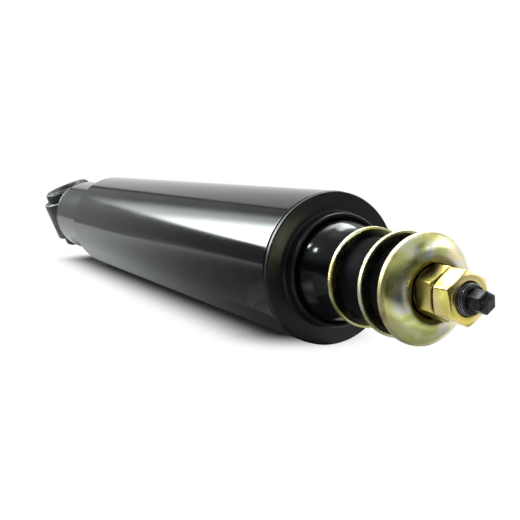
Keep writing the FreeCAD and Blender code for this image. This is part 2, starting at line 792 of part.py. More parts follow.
def make_top_washer():
    """The crowned washer under the nuts: it opens towards the cushion and has a recess for the nut."""
    rim_x = "top_washer_x - top_washer_depth"
    crest_x = "mounting_nut_x + recess_depth"
    crest_r = "recess_r + recess_depth"
    turned("top_cup_washer", [
        ("top_washer_x", "stem_hole_r"),
        ("mounting_nut_x", "stem_hole_r"),
        ("mounting_nut_x", "recess_r"),
        (crest_x, crest_r, "top_washer_radius"),
        (f"{rim_x} + washer_rim", "top_washer_r"),
        (rim_x, "top_washer_r"),
        (rim_x, "top_washer_r - washer_land"),
        (f"{crest_x} - washer_thickness", f"{crest_r} + washer_land"),
        ("top_washer_x", "recess_r + washer_land"),
    ])


def make_cushion(name, start, end, end_run, end_radius):
    """A rubber cushion with a foot that sits in the cup below it."""
    turned(name, [
        (start, "stem_hole_r"),
        (end, "stem_hole_r"),
        (end, end_radius),
        (f"{end} - {end_run}", "cushion_r"),
        (f"{start} + cushion_foot", "cushion_r"),
        (start, "washer_flat_r - cushion_seat_gap"),
    ])


def make_stem_mount():
    """Everything that is threaded onto the stem, from the dome to the lock nut."""
    make_cup_washer("lower_cup_washer", "stem_seat_x")
    make_cushion("lower_cushion", "lower_cushion_x", "middle_washer_x",
                 "cushion_edge", "cushion_r - cushion_edge")
    make_cup_washer("middle_cup_washer", "middle_washer_x")
    make_cushion("upper_cushion", "upper_cushion_x", "top_washer_x", "cushion_nose", "recess_r")
    make_top_washer()
    for name in ("mounting_nut", "lock_nut"):
        hex_nut(name, f"{name}_x", "nut_af", "nut_height", "nut_bevel", "tight_hole_r", f"{name}_turn")


def check_and_write():
    """Refuse a failed object or a bad solid, then write one file per node."""
    doc.recompute()
    failed = [item.Name for item in doc.Objects if {"Invalid", "Error"} & set(item.State)]
    bad = [node.Label for node in nodes if node.Shape.isNull() or not node.Shape.isValid()]
    if failed or bad:
        raise RuntimeError(f"failed objects: {failed}, bad solids: {bad}")
    os.makedirs("parts", exist_ok=True)
    for node in nodes:
        node.Shape.exportStep(f"parts/{node.Label}.step")


fill_sheets()
make_eye()
make_base_cap()
make_tube("reservoir_tube", "reservoir_start", "gland_top_x", "reservoir_bore_r", "reservoir_r")
make_foot_valve()
ring("pressure_tube", "tube_seat_x", "guide_flange_x", "pressure_bore_r", "pressure_r")
make_piston()
make_rod()
make_head()
make_dust_cover()
make_stem_mount()
check_and_write()
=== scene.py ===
"""Looks of a truck shock absorber: detailed pieces, finishes, a plain studio and the camera, in metres."""
import json
import math

import bmesh
import bpy
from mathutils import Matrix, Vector, noise


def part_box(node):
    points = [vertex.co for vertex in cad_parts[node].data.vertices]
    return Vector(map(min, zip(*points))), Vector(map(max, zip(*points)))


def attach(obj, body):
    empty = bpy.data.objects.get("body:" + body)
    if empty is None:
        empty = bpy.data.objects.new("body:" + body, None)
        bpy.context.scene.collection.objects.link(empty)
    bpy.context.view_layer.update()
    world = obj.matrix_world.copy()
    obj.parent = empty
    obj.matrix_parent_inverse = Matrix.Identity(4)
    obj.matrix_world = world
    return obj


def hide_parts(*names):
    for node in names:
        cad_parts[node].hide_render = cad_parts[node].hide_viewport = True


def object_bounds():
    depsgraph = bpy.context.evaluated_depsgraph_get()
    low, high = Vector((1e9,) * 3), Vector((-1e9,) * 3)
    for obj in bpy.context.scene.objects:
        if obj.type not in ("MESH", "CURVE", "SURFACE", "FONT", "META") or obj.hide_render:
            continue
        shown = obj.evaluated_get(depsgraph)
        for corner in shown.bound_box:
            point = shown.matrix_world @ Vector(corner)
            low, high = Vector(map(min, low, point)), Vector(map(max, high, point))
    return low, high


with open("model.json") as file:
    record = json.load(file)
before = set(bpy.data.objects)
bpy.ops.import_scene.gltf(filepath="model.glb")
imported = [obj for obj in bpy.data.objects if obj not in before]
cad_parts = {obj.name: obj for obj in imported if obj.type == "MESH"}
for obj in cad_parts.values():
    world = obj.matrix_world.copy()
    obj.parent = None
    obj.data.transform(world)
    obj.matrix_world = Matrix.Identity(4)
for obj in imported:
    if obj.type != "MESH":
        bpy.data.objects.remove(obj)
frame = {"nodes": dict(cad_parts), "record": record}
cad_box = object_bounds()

# General values of the meshes
SEGMENTS = 160
ARC_STEPS = 6
ROUND_GUARD = 1.25
SHARP_ANGLE = math.radians(38)
AXIS_RADIUS = 1e-6
HEXAGON_SIDES = 6
HEXAGON_SECTOR = 2 * math.pi / HEXAGON_SIDES
ROD_AXIS = Vector((1, 0, 0))
EYE_LEAN = math.radians(22)
EYE_AXIS = Vector((0, -math.sin(EYE_LEAN), math.cos(EYE_LEAN)))

# Dust cover and its end plate
COVER_WALL = 0.0015
COVER_BACK_ROUND = 0.0006
COVER_FRONT_ROUND = 0.0009
COVER_FRONT_BORE_ROUND = 0.0003
COVER_BACK_BORE_ROUND = 0.0004
PLATE_FACE_BEHIND_LIP = 0.0074
PLATE_THICK = 0.002
PLATE_RIM = 0.0025
PLATE_RIM_R = 0.0417
PLATE_FRONT_ROUND = 0.0007
PLATE_BACK_ROUND = 0.0004
PLATE_SKIRT_R = 0.04045
PLATE_SKIRT_ROUND = 0.0003
LIP_R = 0.0308
LIP_ROUND = 0.0012
LIP_FOOT_ROUND = 0.0016
LIP_BORE_R = 0.0284
LIP_BORE_ROUND = 0.0010

# Dome
DOME_R = 0.0275
DOME_WALL = 0.0025
DOME_SEAT_R = 0.014
DOME_FLANGE = 0.002
DOME_STEPS = 28
DOME_INNER_STEPS = 14
STEM_HOLE_R = 0.00705

# Washers
WASHER_HOLE_R = 0.0073
WASHER_HOLE_ROUND = 0.0003
WASHER_THICK = 0.0025
WASHER_SEEDS = {"lower_cup_washer": 0.3, "middle_cup_washer": 4.1, "top_cup_washer": 7.7}
CUP_FLAT_R = 0.017
CUP_FLAT_ROUND = 0.003
CUP_BACK_R = 0.0182
CUP_BACK_ROUND = 0.004
CUP_LAND = 0.0012
CUP_LAND_ROUND = 0.0004
RIM_EDGE = 0.0022
RIM_EDGE_ROUND = 0.0005
TOP_RECESS_R = 0.0135
TOP_RECESS_ROUND = 0.0006
TOP_RECESS_DEPTH = 0.0013
TOP_CROWN_R = 0.016
TOP_CROWN_STEPS = 18
TOP_UNDER_R = 0.016
TOP_UNDER_CROWN_R = 0.0145
TOP_UNDER_STEPS = 12
TOP_HUB_R = 0.0147

# Shear marks on the washers' rims: how many, how deep, and how they come and go round the rim
SHEAR_MARKS = 118
SHEAR_DEPTH = 0.00030
SHEAR_BAND = 0.0002
SHEAR_SEGMENTS_PER_MARK = 4
SHEAR_STRETCHES = 1.7
SHEAR_SHARE = 0.35
SHEAR_WANDER = 2
SHEAR_WANDERINGS = 9

# Cushions; an end is the radius of its far face and the length of the taper to it
CUSHION_FOOT_R = 0.0165
CUSHION_FOOT_ROUND = 0.001
CUSHION_CUP = 0.004
CUSHION_CUP_ROUND = 0.0012
CUSHION_BARREL = 0.0005
CUSHION_BARREL_STEPS = 10
CUSHION_SIDE_ROUND = 0.0010
CUSHION_END_ROUND = 0.0006
CUSHION_ENDS = {"lower_cushion": (0.019, 0.002), "upper_cushion": (0.0135, 0.006)}

# Nuts
NUT_ACROSS = 0.022
NUT_FACE_R = 0.0102
NUT_CORNER = 0.0007
NUT_BEVEL = math.radians(30)
NUT_COUNTERSINK = 0.0009
NUT_SIDE_SEGMENTS = 32
NUT_SOFT_EDGE = 0.00025
NUT_SOFT_STEPS = 2
NUT_SOFT_ANGLE = math.radians(25)
NUT_TURNS = {"mounting_nut": math.radians(31), "lock_nut": math.radians(37)}

# Range of a noise pattern that a finish's roughness follows, and refractive indices of the paints
PATTERN_MIDDLE = (0.3, 0.7)
PAINT_INDEX = 1.38
DULL_PAINT_INDEX = 1.33

# Tints of the zinc plating along a slow noise, and where each set begins by distance from the rod axis; the
# recess set is painted shade
ZINC_COLOUR = (0.62, 0.56, 0.30)
GOLD_TINTS = [
    (0.28, (0.44, 0.42, 0.10)),
    (0.40, (0.72, 0.60, 0.14)),
    (0.48, (0.82, 0.68, 0.20)),
    (0.55, (0.84, 0.70, 0.28)),
    (0.63, (0.90, 0.66, 0.32)),
    (0.72, (0.80, 0.66, 0.20)),
    (0.82, (0.54, 0.54, 0.16)),
]
# Painted shade: dark tints in the ring of the top washer's recess round the inner nut
RECESS_SHADE_TINTS = [
    (0.35, (0.07, 0.06, 0.02)),
    (0.65, (0.18, 0.15, 0.05)),
]
SILVER_TINTS = [
    (0.34, (0.55, 0.57, 0.20)),
    (0.42, (0.74, 0.71, 0.36)),
    (0.48, (0.75, 0.74, 0.54)),
    (0.54, (0.72, 0.73, 0.67)),
    (0.60, (0.84, 0.68, 0.55)),
    (0.66, (0.80, 0.71, 0.40)),
    (0.73, (0.58, 0.59, 0.24)),
]
EDGE_TINTS = [
    (0.32, (0.46, 0.46, 0.14)),
    (0.46, (0.60, 0.58, 0.22)),
    (0.60, (0.64, 0.64, 0.38)),
    (0.74, (0.58, 0.52, 0.18)),
]
SHEARED_TINTS = [
    (0.32, (0.30, 0.24, 0.11)),
    (0.46, (0.48, 0.42, 0.22)),
    (0.60, (0.56, 0.54, 0.42)),
    (0.74, (0.42, 0.36, 0.18)),
]
SHEARED_ZONE = (0.0248, 0.0255)
ZINC_ZONES = [
    ((0.0127, 0.0133), RECESS_SHADE_TINTS),
    ((0.0147, 0.0170), SILVER_TINTS),
    ((0.0208, 0.0240), EDGE_TINTS),
    (SHEARED_ZONE, SHEARED_TINTS),
]
ZINC_OFFSET = (5.3, 2.9, 1.7)
ZINC_SHEARED_ROUGHNESS = 0.25
# Painted shade in the seats of the nuts: a dark band across the rod axis at each nut's lower face
SEAT_SHADE = (0.03, 0.026, 0.012)
SEAT_SHADE_REACH = (0.0003, 0.0013)

# Blackened steel of the stem: its spots, and the lighter crests of the thread by distance from the rod axis,
# which are partly wear and partly painted highlight
OXIDE_COLOUR = (0.03, 0.03, 0.032)
OXIDE_TINTS = [
    (0.40, (0.018, 0.018, 0.020)),
    (0.66, (0.050, 0.050, 0.052)),
    (0.80, (0.160, 0.155, 0.150)),
]
CREST_WEAR_AND_HIGHLIGHT_TINTS = [
    (0.3, (0.10, 0.10, 0.10)),
    (0.6, (0.34, 0.33, 0.32)),
]
CREST_WEAR_AND_HIGHLIGHT_ZONE = (0.00668, 0.00698)

# Rod and its threaded stem
ROD_R = 0.010
ROD_SEGMENTS = 96
SPIGOT_END = 0.2053
SPIGOT_CHAMFER = 0.0005
SHOULDER_CHAMFER = 0.0008
STUD_R = 0.007
STUD_START = 0.5345
STUD_END = 0.613
STUD_CHAMFER = 0.0009
STUD_CHAMFER_STEPS = 4
STUD_FINISH_MARGIN = 0.0001
THREAD_START = 0.586
THREAD_PITCH = 0.0015
THREAD_DEPTH = 0.00082
THREAD_SLOPE = 1.25
THREAD_CREST_FLAT = 0.12
THREAD_RUN_OUT = 2 * THREAD_PITCH
THREAD_MARGIN = 0.0002
THREAD_ROWS_PER_TURN = 10
TIP_ACROSS = 0.009
TIP_CORNER = 0.0004
TIP_BEVEL = 0.0008
TIP_BEVEL_INSET = 0.00176
TIP_ROOT = 0.0004
TIP_SIDE_SEGMENTS = 24
TIP_TURN = math.radians(35)

# Cylinder
RESERVOIR_WALL = 0.0025
RESERVOIR_BACK_ROUND = 0.0007
RESERVOIR_EDGE_ROUND = 0.0004
NECK_R = 0.019
NECK_END = 0.036
NECK_ROUND = 0.004
CAP_R = 0.03245
CAP_ROUND = 0.002
CAP_WALL = 0.003
CAP_FLOOR = 0.057
SADDLE_R = 0.03005

# Eye
RING_BORE_R = 0.024
RING_R = 0.030
RING_HALF = 0.0205
RING_CHAMFER = 0.0015
RING_ROUND = 0.0005
BUSH_BORE_R = 0.014
BUSH_BORE_HALF = 0.028
BUSH_BORE_ROUND = 0.0015
BUSH_MOUTH_R = 0.0165
BUSH_MOUTH_ROUND = 0.0010
BUSH_END_R = 0.0221
BUSH_HALF = 0.031
BUSH_COLLAR_R = 0.0246
BUSH_COLLAR_HALF = 0.0285
BUSH_COLLAR_GAP = 0.00005
BUSH_COLLAR_ROUND = 0.0012
BUSH_FOOT_ROUND = 0.0004
BUSH_SLEEVE_R = 0.02395

# Weld beads
WELD_R = 0.0021
WELD_SECTION_STEPS = 14
WELD_RIPPLES = 46
WELD_STEPS = 6 * WELD_RIPPLES
WELD_RIPPLE_SHARE = 0.10
WELD_LUMPS = 3
WELD_LUMP_SHARE = 0.12
WELD_SEED = 1.0
SEAM_WELD_R = 0.0016
SEAM_WELD_BACK = 0.0007
SEAM_WELD_RISE = 0.00112
SEAM_WELD_RIPPLE = 0.25
SEAM_WELD_SEED = 5.0

# Camera
PICTURE = 520
FOCAL_PIXELS = 738
SENSOR = 36
CAMERA_AZIMUTH = math.radians(61)
CAMERA_ELEVATION = math.radians(7.66)
CAMERA_PLACE = Vector((0.8343, -0.2251, 0.0577))

# Floor, surroundings and the one lamp
FLOOR_HALF = 9.0
FLOOR_COLOUR = (0.96, 0.96, 0.96, 1)
FLOOR_NEAR = 0.013
FLOOR_FAR = 0.056
FLOOR_MIDDLE = Vector((0.2825, 0, 0))
FLOOR_REACH = Vector((0.1825, 0, 1))
WHITE = (1, 1, 1, 1)
FILL_STRENGTH = 0.20
KEY_AIM = Vector((0.40, 0, 0))
KEY_OFFSET = Vector((-0.15, 0.25, 1.15))
KEY_SIDE = 0.9
KEY_RADIANCE = 5.0

# Reflection cards round the part: azimuths, elevations and the glow at the two ends, angles in degrees
MIDDLE = Vector((0.35, 0, 0))
CARD_DISTANCE = 2.2
CARD_STEPS = 24
CARD_TINT = (0.94, 1.0, 0.98, 1)
EVEN = (1, 1)
RISING_FADE = (0, 1)
WINDOW_FOOT = 12.2
WINDOW_FULL = 15.2
WINDOW_TOP = 46
WINDOW_PARTS = [
    ("dim", (7, 14), (0.5, 3.0)),
    ("edge", (14, 29), (3.0, 30)),
    ("wide", (29, 44), (30, 30)),
]
KEY_HEIGHTS = (47, 78)
BELOW_HEIGHTS = (-1.5, WINDOW_FOOT)
BESIDE_HEIGHTS = (WINDOW_FOOT, WINDOW_TOP)
CEILING_HEIGHTS = (WINDOW_TOP, 70)
ARC_CARDS = [
    ("card_key_wide", (-125, -76), KEY_HEIGHTS, (0.6, 2)),
    ("card_key_edge", (-76, -64), KEY_HEIGHTS, (2, 22)),
    ("card_key", (-64, -36), KEY_HEIGHTS, (22, 10)),
    ("card_below_window", (-1, 14), BELOW_HEIGHTS, (0.80, 0.48)),
    ("card_below_edge", (14, 30), BELOW_HEIGHTS, (0.48, 0.15)),
    ("card_below_between", (30, 64), BELOW_HEIGHTS, (0.15, 0.10)),
    ("card_beside_window", (-1, 7), BESIDE_HEIGHTS, (0.44, 0.38)),
    ("card_edge", (-3.2, -1), (6, WINDOW_TOP), (0.04, 0.04)),
    ("card_front", (64, 196), (-1, 12), (0.02, 0.02)),
    ("card_front_top", (64, 196), (34, WINDOW_TOP), (0.7, 0.7)),
    ("card_between", (44, 64), BESIDE_HEIGHTS, (0.20, 0.10)),
    ("card_key_fall", (-36, 30), CEILING_HEIGHTS, (10, 0.7)),
    ("card_ceiling", (30, 235), CEILING_HEIGHTS, (0.7, 0.7)),
    ("card_back_strip", (-152, -88), (24, 33), (3, 8)),
    ("card_right", (196, 240), (-1, WINDOW_TOP), (0.02, 0.8)),
]

# Cards whose glow runs upwards, and the two small bright ones in front that make the glints on the dome
RISING_CARDS = [
    ("card_front_upper", (64, 196), (12, 34), (0.02, 0.7)),
    ("card_overhead", (-36, 235), (70, 89.5), (0.7, 2.2)),
]
GLINT_DISTANCE = 2.0
GLINT_CARDS = [
    ("card_glint_left", (51, 57), (38, 44), (60, 60)),
    ("card_glint_right", (79, 87), (39, 45), (75, 75)),
]

# Reflection cards on the floor, which reflections see in place of the white floor, brighter or dimmer than
# it, with painted shade of the floor round the part: ranges in x and y, and the glow at the two ends in x
CARD_LIFT = 0.0004
BASE_LIFT = 0.0002
FLOOR_SLANT = 1.0
SLANTED_CARDS = [
    ("card_floor_base", (0.2, 1.3), (-1.6, -0.035), (0.25, 0.25), BASE_LIFT),
    ("card_floor_far", (-3.0, 0.035), (-1.6, -0.2), (0.55, 0.4), BASE_LIFT),
    # Painted shade of the floor in reflections: dimmer towards the near end of the cover
    ("card_floor_beside", (0.0, 0.45), (-1.6, -0.035), (1.05, 0.17), CARD_LIFT),
]

# The same for the straight ones, with the fade across y
FLOOR_CARDS = [
    ("card_floor_nuts", (0.45, 0.52), (-0.30, -0.15), (0.17, 0.5), EVEN),
    ("card_floor_nuts_edge", (0.45, 0.52), (-0.15, -0.09), (0.17, 2.0), (0.25, 1)),
    ("card_floor_nuts_near", (0.45, 0.52), (-0.09, -0.06), (0.17, 2.0), (1, 0.25)),
    ("card_floor_plate", (0.45, 0.52), (-0.06, -0.035), (0.17, 0.5), EVEN),
    ("card_floor_washers", (0.58, 0.62), (-0.050, 0.05), (0.42, 0.5), EVEN),
    ("card_floor_dome", (0.52, 0.58), (-0.050, 0.0), (0.04, 0.5), EVEN),
    ("card_floor_stem", (0.52, 0.62), (-1.5, -0.050), (0.5, 1.0), EVEN),
    ("card_floor_edge", (0.62, 0.72), (-1.5, 0.03), (1.0, 0.02), EVEN),
    ("card_floor_front", (0.72, 1.8), (-1.5, 0.03), (0.02, 0.02), EVEN),
    ("card_floor_right", (0.70, 1.8), (0.05, 1.5), (0.72, 0.2), EVEN),
    # Painted shadow of the floor in reflections along the contact line: it fades to nothing under the part
    # and dims towards the near end
    ("card_floor_contact", (0.0, 0.52), (-0.035, 0.0), (1.0, 0.05), (0.88, 0.0)),
]


# Meshes
def mesh_object(name, vertices, faces):
    """A smooth-shaded object whose faces point outwards and whose real corners stay sharp."""
    mesh = bpy.data.meshes.new(name)
    mesh.from_pydata(vertices, [], faces)
    shape = bmesh.new()
    shape.from_mesh(mesh)
    bmesh.ops.recalc_face_normals(shape, faces=shape.faces)
    shape.to_mesh(mesh)
    shape.free()
    mesh.shade_smooth()
    mesh.set_sharp_from_angle(angle=SHARP_ANGLE)
    piece = bpy.data.objects.new(name, mesh)
    bpy.context.scene.collection.objects.link(piece)
    return piece


def rounded(corners):
    """Closed outline through corners (along, radius, fillet), with each fillet drawn as an arc.

    A guard point beside each end of an arc keeps the shading of the flats even.
    """
    outline = []
    for index, corner in enumerate(corners):
        here = Vector(corner[:2])
        fillet = corner[2] if len(corner) > 2 else 0
        if not fillet:
            outline.append(here)
            continue
        before = (Vector(corners[index - 1][:2]) - here).normalized()
        after = (Vector(corners[(index + 1) % len(corners)][:2]) - here).normalized()
        half = before.angle(after) / 2
        reach = fillet / math.tan(half)
        guard = reach * ROUND_GUARD
        centre = here + (before + after).normalized() * fillet / math.sin(half)
        start = here + before * reach - centre
        end = here + after * reach - centre
        outline.append(here + before * guard)
        for step in range(ARC_STEPS + 1):
            spoke = start.lerp(end, step / ARC_STEPS)
            outline.append(centre + spoke.normalized() * fillet)
        outline.append(here + after * guard)
    return outline


def arc(centre, radius, first, last, steps):
    """Points of an arc about a centre on the outline plane, between two angles."""
    points = []
    for step in range(steps + 1):
        angle = first + (last - first) * step / steps
        points.append(Vector(centre) + radius * Vector((math.cos(angle), math.sin(angle))))
    return points


def arc_between(start, end, radius, steps):
    """Points strictly inside the arc of a radius from start to end that bulges to the right of the way."""
    start = Vector(start)
    end = Vector(end)
    chord = end - start
    right = Vector((chord.y, -chord.x)).normalized()
    centre = (start + end) / 2 - right * math.sqrt(radius ** 2 - chord.length_squared / 4)
    points = []
    for step in range(1, steps):
        spoke = start.lerp(end, step / steps) - centre
        points.append(centre + spoke.normalized() * radius)
    return points


def faces_between(rows, closed):
    """Faces that join each row of vertices to the next; a row of one vertex is a pole."""
    faces = []
    pairs = list(zip(rows, rows[1:]))
    if closed:
        pairs.append((rows[-1], rows[0]))
    for low, high in pairs:
        count = max(len(low), len(high))
        for step in range(count if count > 1 else 0):
            after = (step + 1) % count
            lower = [low[step % len(low)], low[after % len(low)]]
            upper = [high[after % len(high)], high[step % len(high)]]
            faces.append(list(dict.fromkeys(lower + upper)))
    return faces


def lathe(name, outline, axis=ROD_AXIS, segments=SEGMENTS, closed=True, warp=None):
    """Solid of an outline of (along, radius) points turned about an axis through the origin."""
    side = axis.orthogonal().normalized() if axis != ROD_AXIS else Vector((0, 1, 0))
    third = axis.cross(side)
    vertices = []
    rows = []
    for along, radius in outline:
        count = 1 if radius < AXIS_RADIUS else segments
        rows.append(range(len(vertices), len(vertices) + count))
        for step in range(count):
            angle = 2 * math.pi * step / segments
            x, r = warp(along, radius, angle) if warp else (along, radius)
            vertices.append(axis * x + (side * math.cos(angle) + third * math.sin(angle)) * r)
    return mesh_object(name, vertices, faces_between(rows, closed))


def equal_rows(count, length):
    """Ranges of vertices of rows that all have the same length."""
    return [range(row * length, (row + 1) * length) for row in range(count)]


def around_rod(along, radius, angle):
    """Point at a place along the rod axis and an angle round it."""
    return Vector((along, radius * math.cos(angle), radius * math.sin(angle)))


def span(node):
    """Start, end and radius of a turned CAD node along the rod axis."""
    low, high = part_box(node)
    return low.x, high.x, high.z


def hexagon_radius(angle, across, corner):
    """Distance from the axis to the side of a round-cornered hexagon, by the angle from one corner."""
    sector = angle % HEXAGON_SECTOR - HEXAGON_SECTOR / 2
    from_corner = HEXAGON_SECTOR / 2 - abs(sector)
    centre = (across - 2 * corner) / math.sqrt(3)
    offset = centre * math.sin(from_corner)
    if offset < corner / 2:
        return centre * math.cos(from_corner) + math.sqrt(corner ** 2 - offset ** 2)
    return across / 2 / math.cos(sector)


# Steps of node trees
def blank_tree(block):
    """Emptied node tree of a material or a world."""
    block.use_nodes = True
    block.node_tree.nodes.clear()
    return block.node_tree


def vector_step(tree, operation, source, operand=(0, 0, 0)):
    """Vector maths on a socket with a constant second operand; a length comes out as one value."""
    node = tree.nodes.new("ShaderNodeVectorMath")
    node.operation = operation
    node.inputs[1].default_value = operand
    tree.links.new(source, node.inputs[0])
    return node.outputs["Value" if operation == "LENGTH" else "Vector"]


def map_range(tree, source, ends, values, smooth=False):
    """Value that goes from the first to the second of two values while the source goes between two ends."""
    node = tree.nodes.new("ShaderNodeMapRange")
    if smooth:
        node.interpolation_type = "SMOOTHSTEP"
    for socket, value in zip(("From Min", "From Max", "To Min", "To Max"), (*ends, *values)):
        node.inputs[socket].default_value = value
    tree.links.new(source, node.inputs["Value"])
    return node.outputs["Result"]


def mix_shader(tree, share, first, second):
    """Shader that goes from the first to the second by a share."""
    node = tree.nodes.new("ShaderNodeMixShader")
    tree.links.new(share, node.inputs["Fac"])
    tree.links.new(first, node.inputs[1])
    tree.links.new(second, node.inputs[2])
    return node.outputs["Shader"]


# Parts of a finish
def shader_input(material, name):
    """Input of a material's principled shader."""
    return material.node_tree.nodes["Principled BSDF"].inputs[name]


def new_material(name, colour, metallic, roughness):
    """A material with a plain principled shader; its finish is added by the functions below."""
    material = bpy.data.materials.new(name)
    material.use_nodes = True
    material.diffuse_color = (*colour, 1)
    shader_input(material, "Base Color").default_value = (*colour, 1)
    shader_input(material, "Metallic").default_value = metallic
    shader_input(material, "Roughness").default_value = roughness
    return material


def object_place(tree):
    """The piece's own coordinates."""
    return tree.nodes.new("ShaderNodeTexCoord").outputs["Object"]


def grain(material, scale, detail, stretch=(1, 1, 1), distortion=0.0, offset=(0, 0, 0)):
    """Noise over the piece's own coordinates; scale is in grains per metre."""
    tree = material.node_tree
    mapping = tree.nodes.new("ShaderNodeMapping")
    mapping.inputs["Scale"].default_value = stretch
    mapping.inputs["Location"].default_value = offset
    pattern = tree.nodes.new("ShaderNodeTexNoise")
    pattern.inputs["Scale"].default_value = scale
    pattern.inputs["Detail"].default_value = detail
    pattern.inputs["Distortion"].default_value = distortion
    tree.links.new(object_place(tree), mapping.inputs["Vector"])
    tree.links.new(mapping.outputs["Vector"], pattern.inputs["Vector"])
    return pattern.outputs["Fac"]


def ramp(material, source, stops):
    """Colour ramp over a pattern; stops are (place, colour)."""
    node = material.node_tree.nodes.new("ShaderNodeValToRGB")
    elements = node.color_ramp.elements
    while len(elements) < len(stops):
        elements.new(0.5)
    for element, (place, colour) in zip(elements, stops):
        element.position = place
        element.color = (*colour, 1)
    material.node_tree.links.new(source, node.inputs["Fac"])
    return node.outputs["Color"]


def mix_colour(material, share, first, second):
    """Colour that goes from the first to the second by a share; the second may be a plain colour."""
    tree = material.node_tree
    node = tree.nodes.new("ShaderNodeMix")
    node.data_type = "RGBA"
    tree.links.new(share, node.inputs["Factor"])
    tree.links.new(first, node.inputs["A"])
    if isinstance(second, tuple):
        node.inputs["B"].default_value = (*second, 1)
    else:
        tree.links.new(second, node.inputs["B"])
    return node.outputs["Result"]


def set_colour(material, source):
    """Link a colour to the shader."""
    material.node_tree.links.new(source, shader_input(material, "Base Color"))


def mottle(material, scale, detail, dark, light):
    """Colour that follows a noise; dark and light are (place, colour)."""
    set_colour(material, ramp(material, grain(material, scale, detail), [dark, light]))


def vary_roughness(material, source, smooth, rough):
    """Roughness that follows the middle of a pattern between two values."""
    roughness = map_range(material.node_tree, source, PATTERN_MIDDLE, (smooth, rough))
    material.node_tree.links.new(roughness, shader_input(material, "Roughness"))
    return roughness


def bump(material, source, height, strength):
    """Relief of a height in metres from a pattern."""
    node = material.node_tree.nodes.new("ShaderNodeBump")
    node.inputs["Strength"].default_value = strength
    node.inputs["Distance"].default_value = height
    material.node_tree.links.new(source, node.inputs["Height"])
    material.node_tree.links.new(node.outputs["Normal"], shader_input(material, "Normal"))


def rim_share(material, reach):
    """Share that rises from 0 to 1 between two distances from the rod axis."""
    tree = material.node_tree
    across = vector_step(tree, "MULTIPLY", object_place(tree), (0, 1, 1))
    return map_range(tree, vector_step(tree, "LENGTH", across), reach, (0, 1))


def seat_shade_share(material, plane):
    """Share of painted shade, from 1 in a seat across the rod axis to 0 a little above it."""
    tree = material.node_tree
    offset = vector_step(tree, "SUBTRACT", object_place(tree), (plane, 0, 0))
    along = vector_step(tree, "MULTIPLY", offset, (1, 0, 0))
    return map_range(tree, vector_step(tree, "LENGTH", along), SEAT_SHADE_REACH, (1, 0))


def shade(colour, share):
    """A colour made darker or lighter."""
    return tuple(min(1, channel * share) for channel in colour)


# Finishes
def gloss_paint(name, colour, smooth, rough, index=PAINT_INDEX):
    """Stoved black paint with a trace of orange peel and faint smears."""
    material = new_material(name, colour, metallic=0, roughness=smooth)
    shader_input(material, "IOR").default_value = index
    smears = grain(material, scale=22, detail=5, stretch=(0.35, 1, 1), distortion=0.6)
    vary_roughness(material, smears, smooth, rough)
    mottle(material, scale=60, detail=4, dark=(0.35, shade(colour, 0.75)), light=(0.65, shade(colour, 1.35)))
    bump(material, grain(material, scale=420, detail=1), height=0.00002, strength=0.35)
    return material


def satin_paint(name, colour):
    """Satin black paint over a rough forged or pressed skin."""
    material = new_material(name, colour, metallic=0, roughness=0.42)
    shader_input(material, "Specular IOR Level").default_value = 0.22
    vary_roughness(material, grain(material, scale=90, detail=4), smooth=0.3, rough=0.5)
    mottle(material, scale=140, detail=5, dark=(0.35, shade(colour, 0.7)), light=(0.68, shade(colour, 1.6)))
    bump(material, grain(material, scale=650, detail=4), height=0.00012, strength=0.5)
    return material


def zinc_plate(name):
    """Yellow passivated zinc: gold near the axis, silver on the crowns, rougher on the sheared rims, with
    painted shade in the top washer's recess and at the nuts' seats.
    """
    material = new_material(name, ZINC_COLOUR, metallic=1, roughness=0.25)
    tree = material.node_tree
    drift = grain(material, scale=44, detail=2, distortion=1.0, offset=ZINC_OFFSET)
    colour = ramp(material, drift, GOLD_TINTS)
    # Painted shade at each nut's seat
    for nut in NUT_TURNS:
        colour = mix_colour(material, seat_shade_share(material, span(nut)[0]), colour, SEAT_SHADE)
    for reach, tints in ZINC_ZONES:
        colour = mix_colour(material, rim_share(material, reach), colour, ramp(material, drift, tints))
    set_colour(material, colour)
    marks = vary_roughness(material, grain(material, scale=120, detail=4), smooth=0.17, rough=0.34)
    rough = tree.nodes.new("ShaderNodeMath")
    rough.operation = "MULTIPLY_ADD"
    rough.inputs[1].default_value = ZINC_SHEARED_ROUGHNESS
    tree.links.new(rim_share(material, SHEARED_ZONE), rough.inputs[0])
    tree.links.new(marks, rough.inputs[2])
    tree.links.new(rough.outputs["Value"], shader_input(material, "Roughness"))
    bump(material, grain(material, scale=900, detail=2), height=0.00001, strength=0.3)
    return material


def rubber(name, colour, shine=0.05, smooth=0.46, rough=0.66, relief=0.00006):
    """Moulded rubber with a fine matte grain and a little bloom."""
    material = new_material(name, colour, metallic=0, roughness=rough)
    shader_input(material, "Specular IOR Level").default_value = shine
    vary_roughness(material, grain(material, scale=70, detail=4), smooth, rough)
    mottle(material, scale=45, detail=6, dark=(0.4, colour), light=(0.72, shade(colour, 1.9)))
    bump(material, grain(material, scale=1500, detail=3), height=relief, strength=0.5)
    return material


def bare_metal(name, colour, smooth, rough, stretch=(1, 1, 1), relief=0.00002):
    """Machined or ground metal with fine marks."""
    material = new_material(name, colour, metallic=1, roughness=smooth)
    marks = grain(material, scale=600, detail=4, stretch=stretch)
    vary_roughness(material, marks, smooth, rough)
    mottle(material, scale=60, detail=3, dark=(0.35, shade(colour, 0.82)), light=(0.65, colour))
    bump(material, marks, height=relief, strength=0.4)
    return material


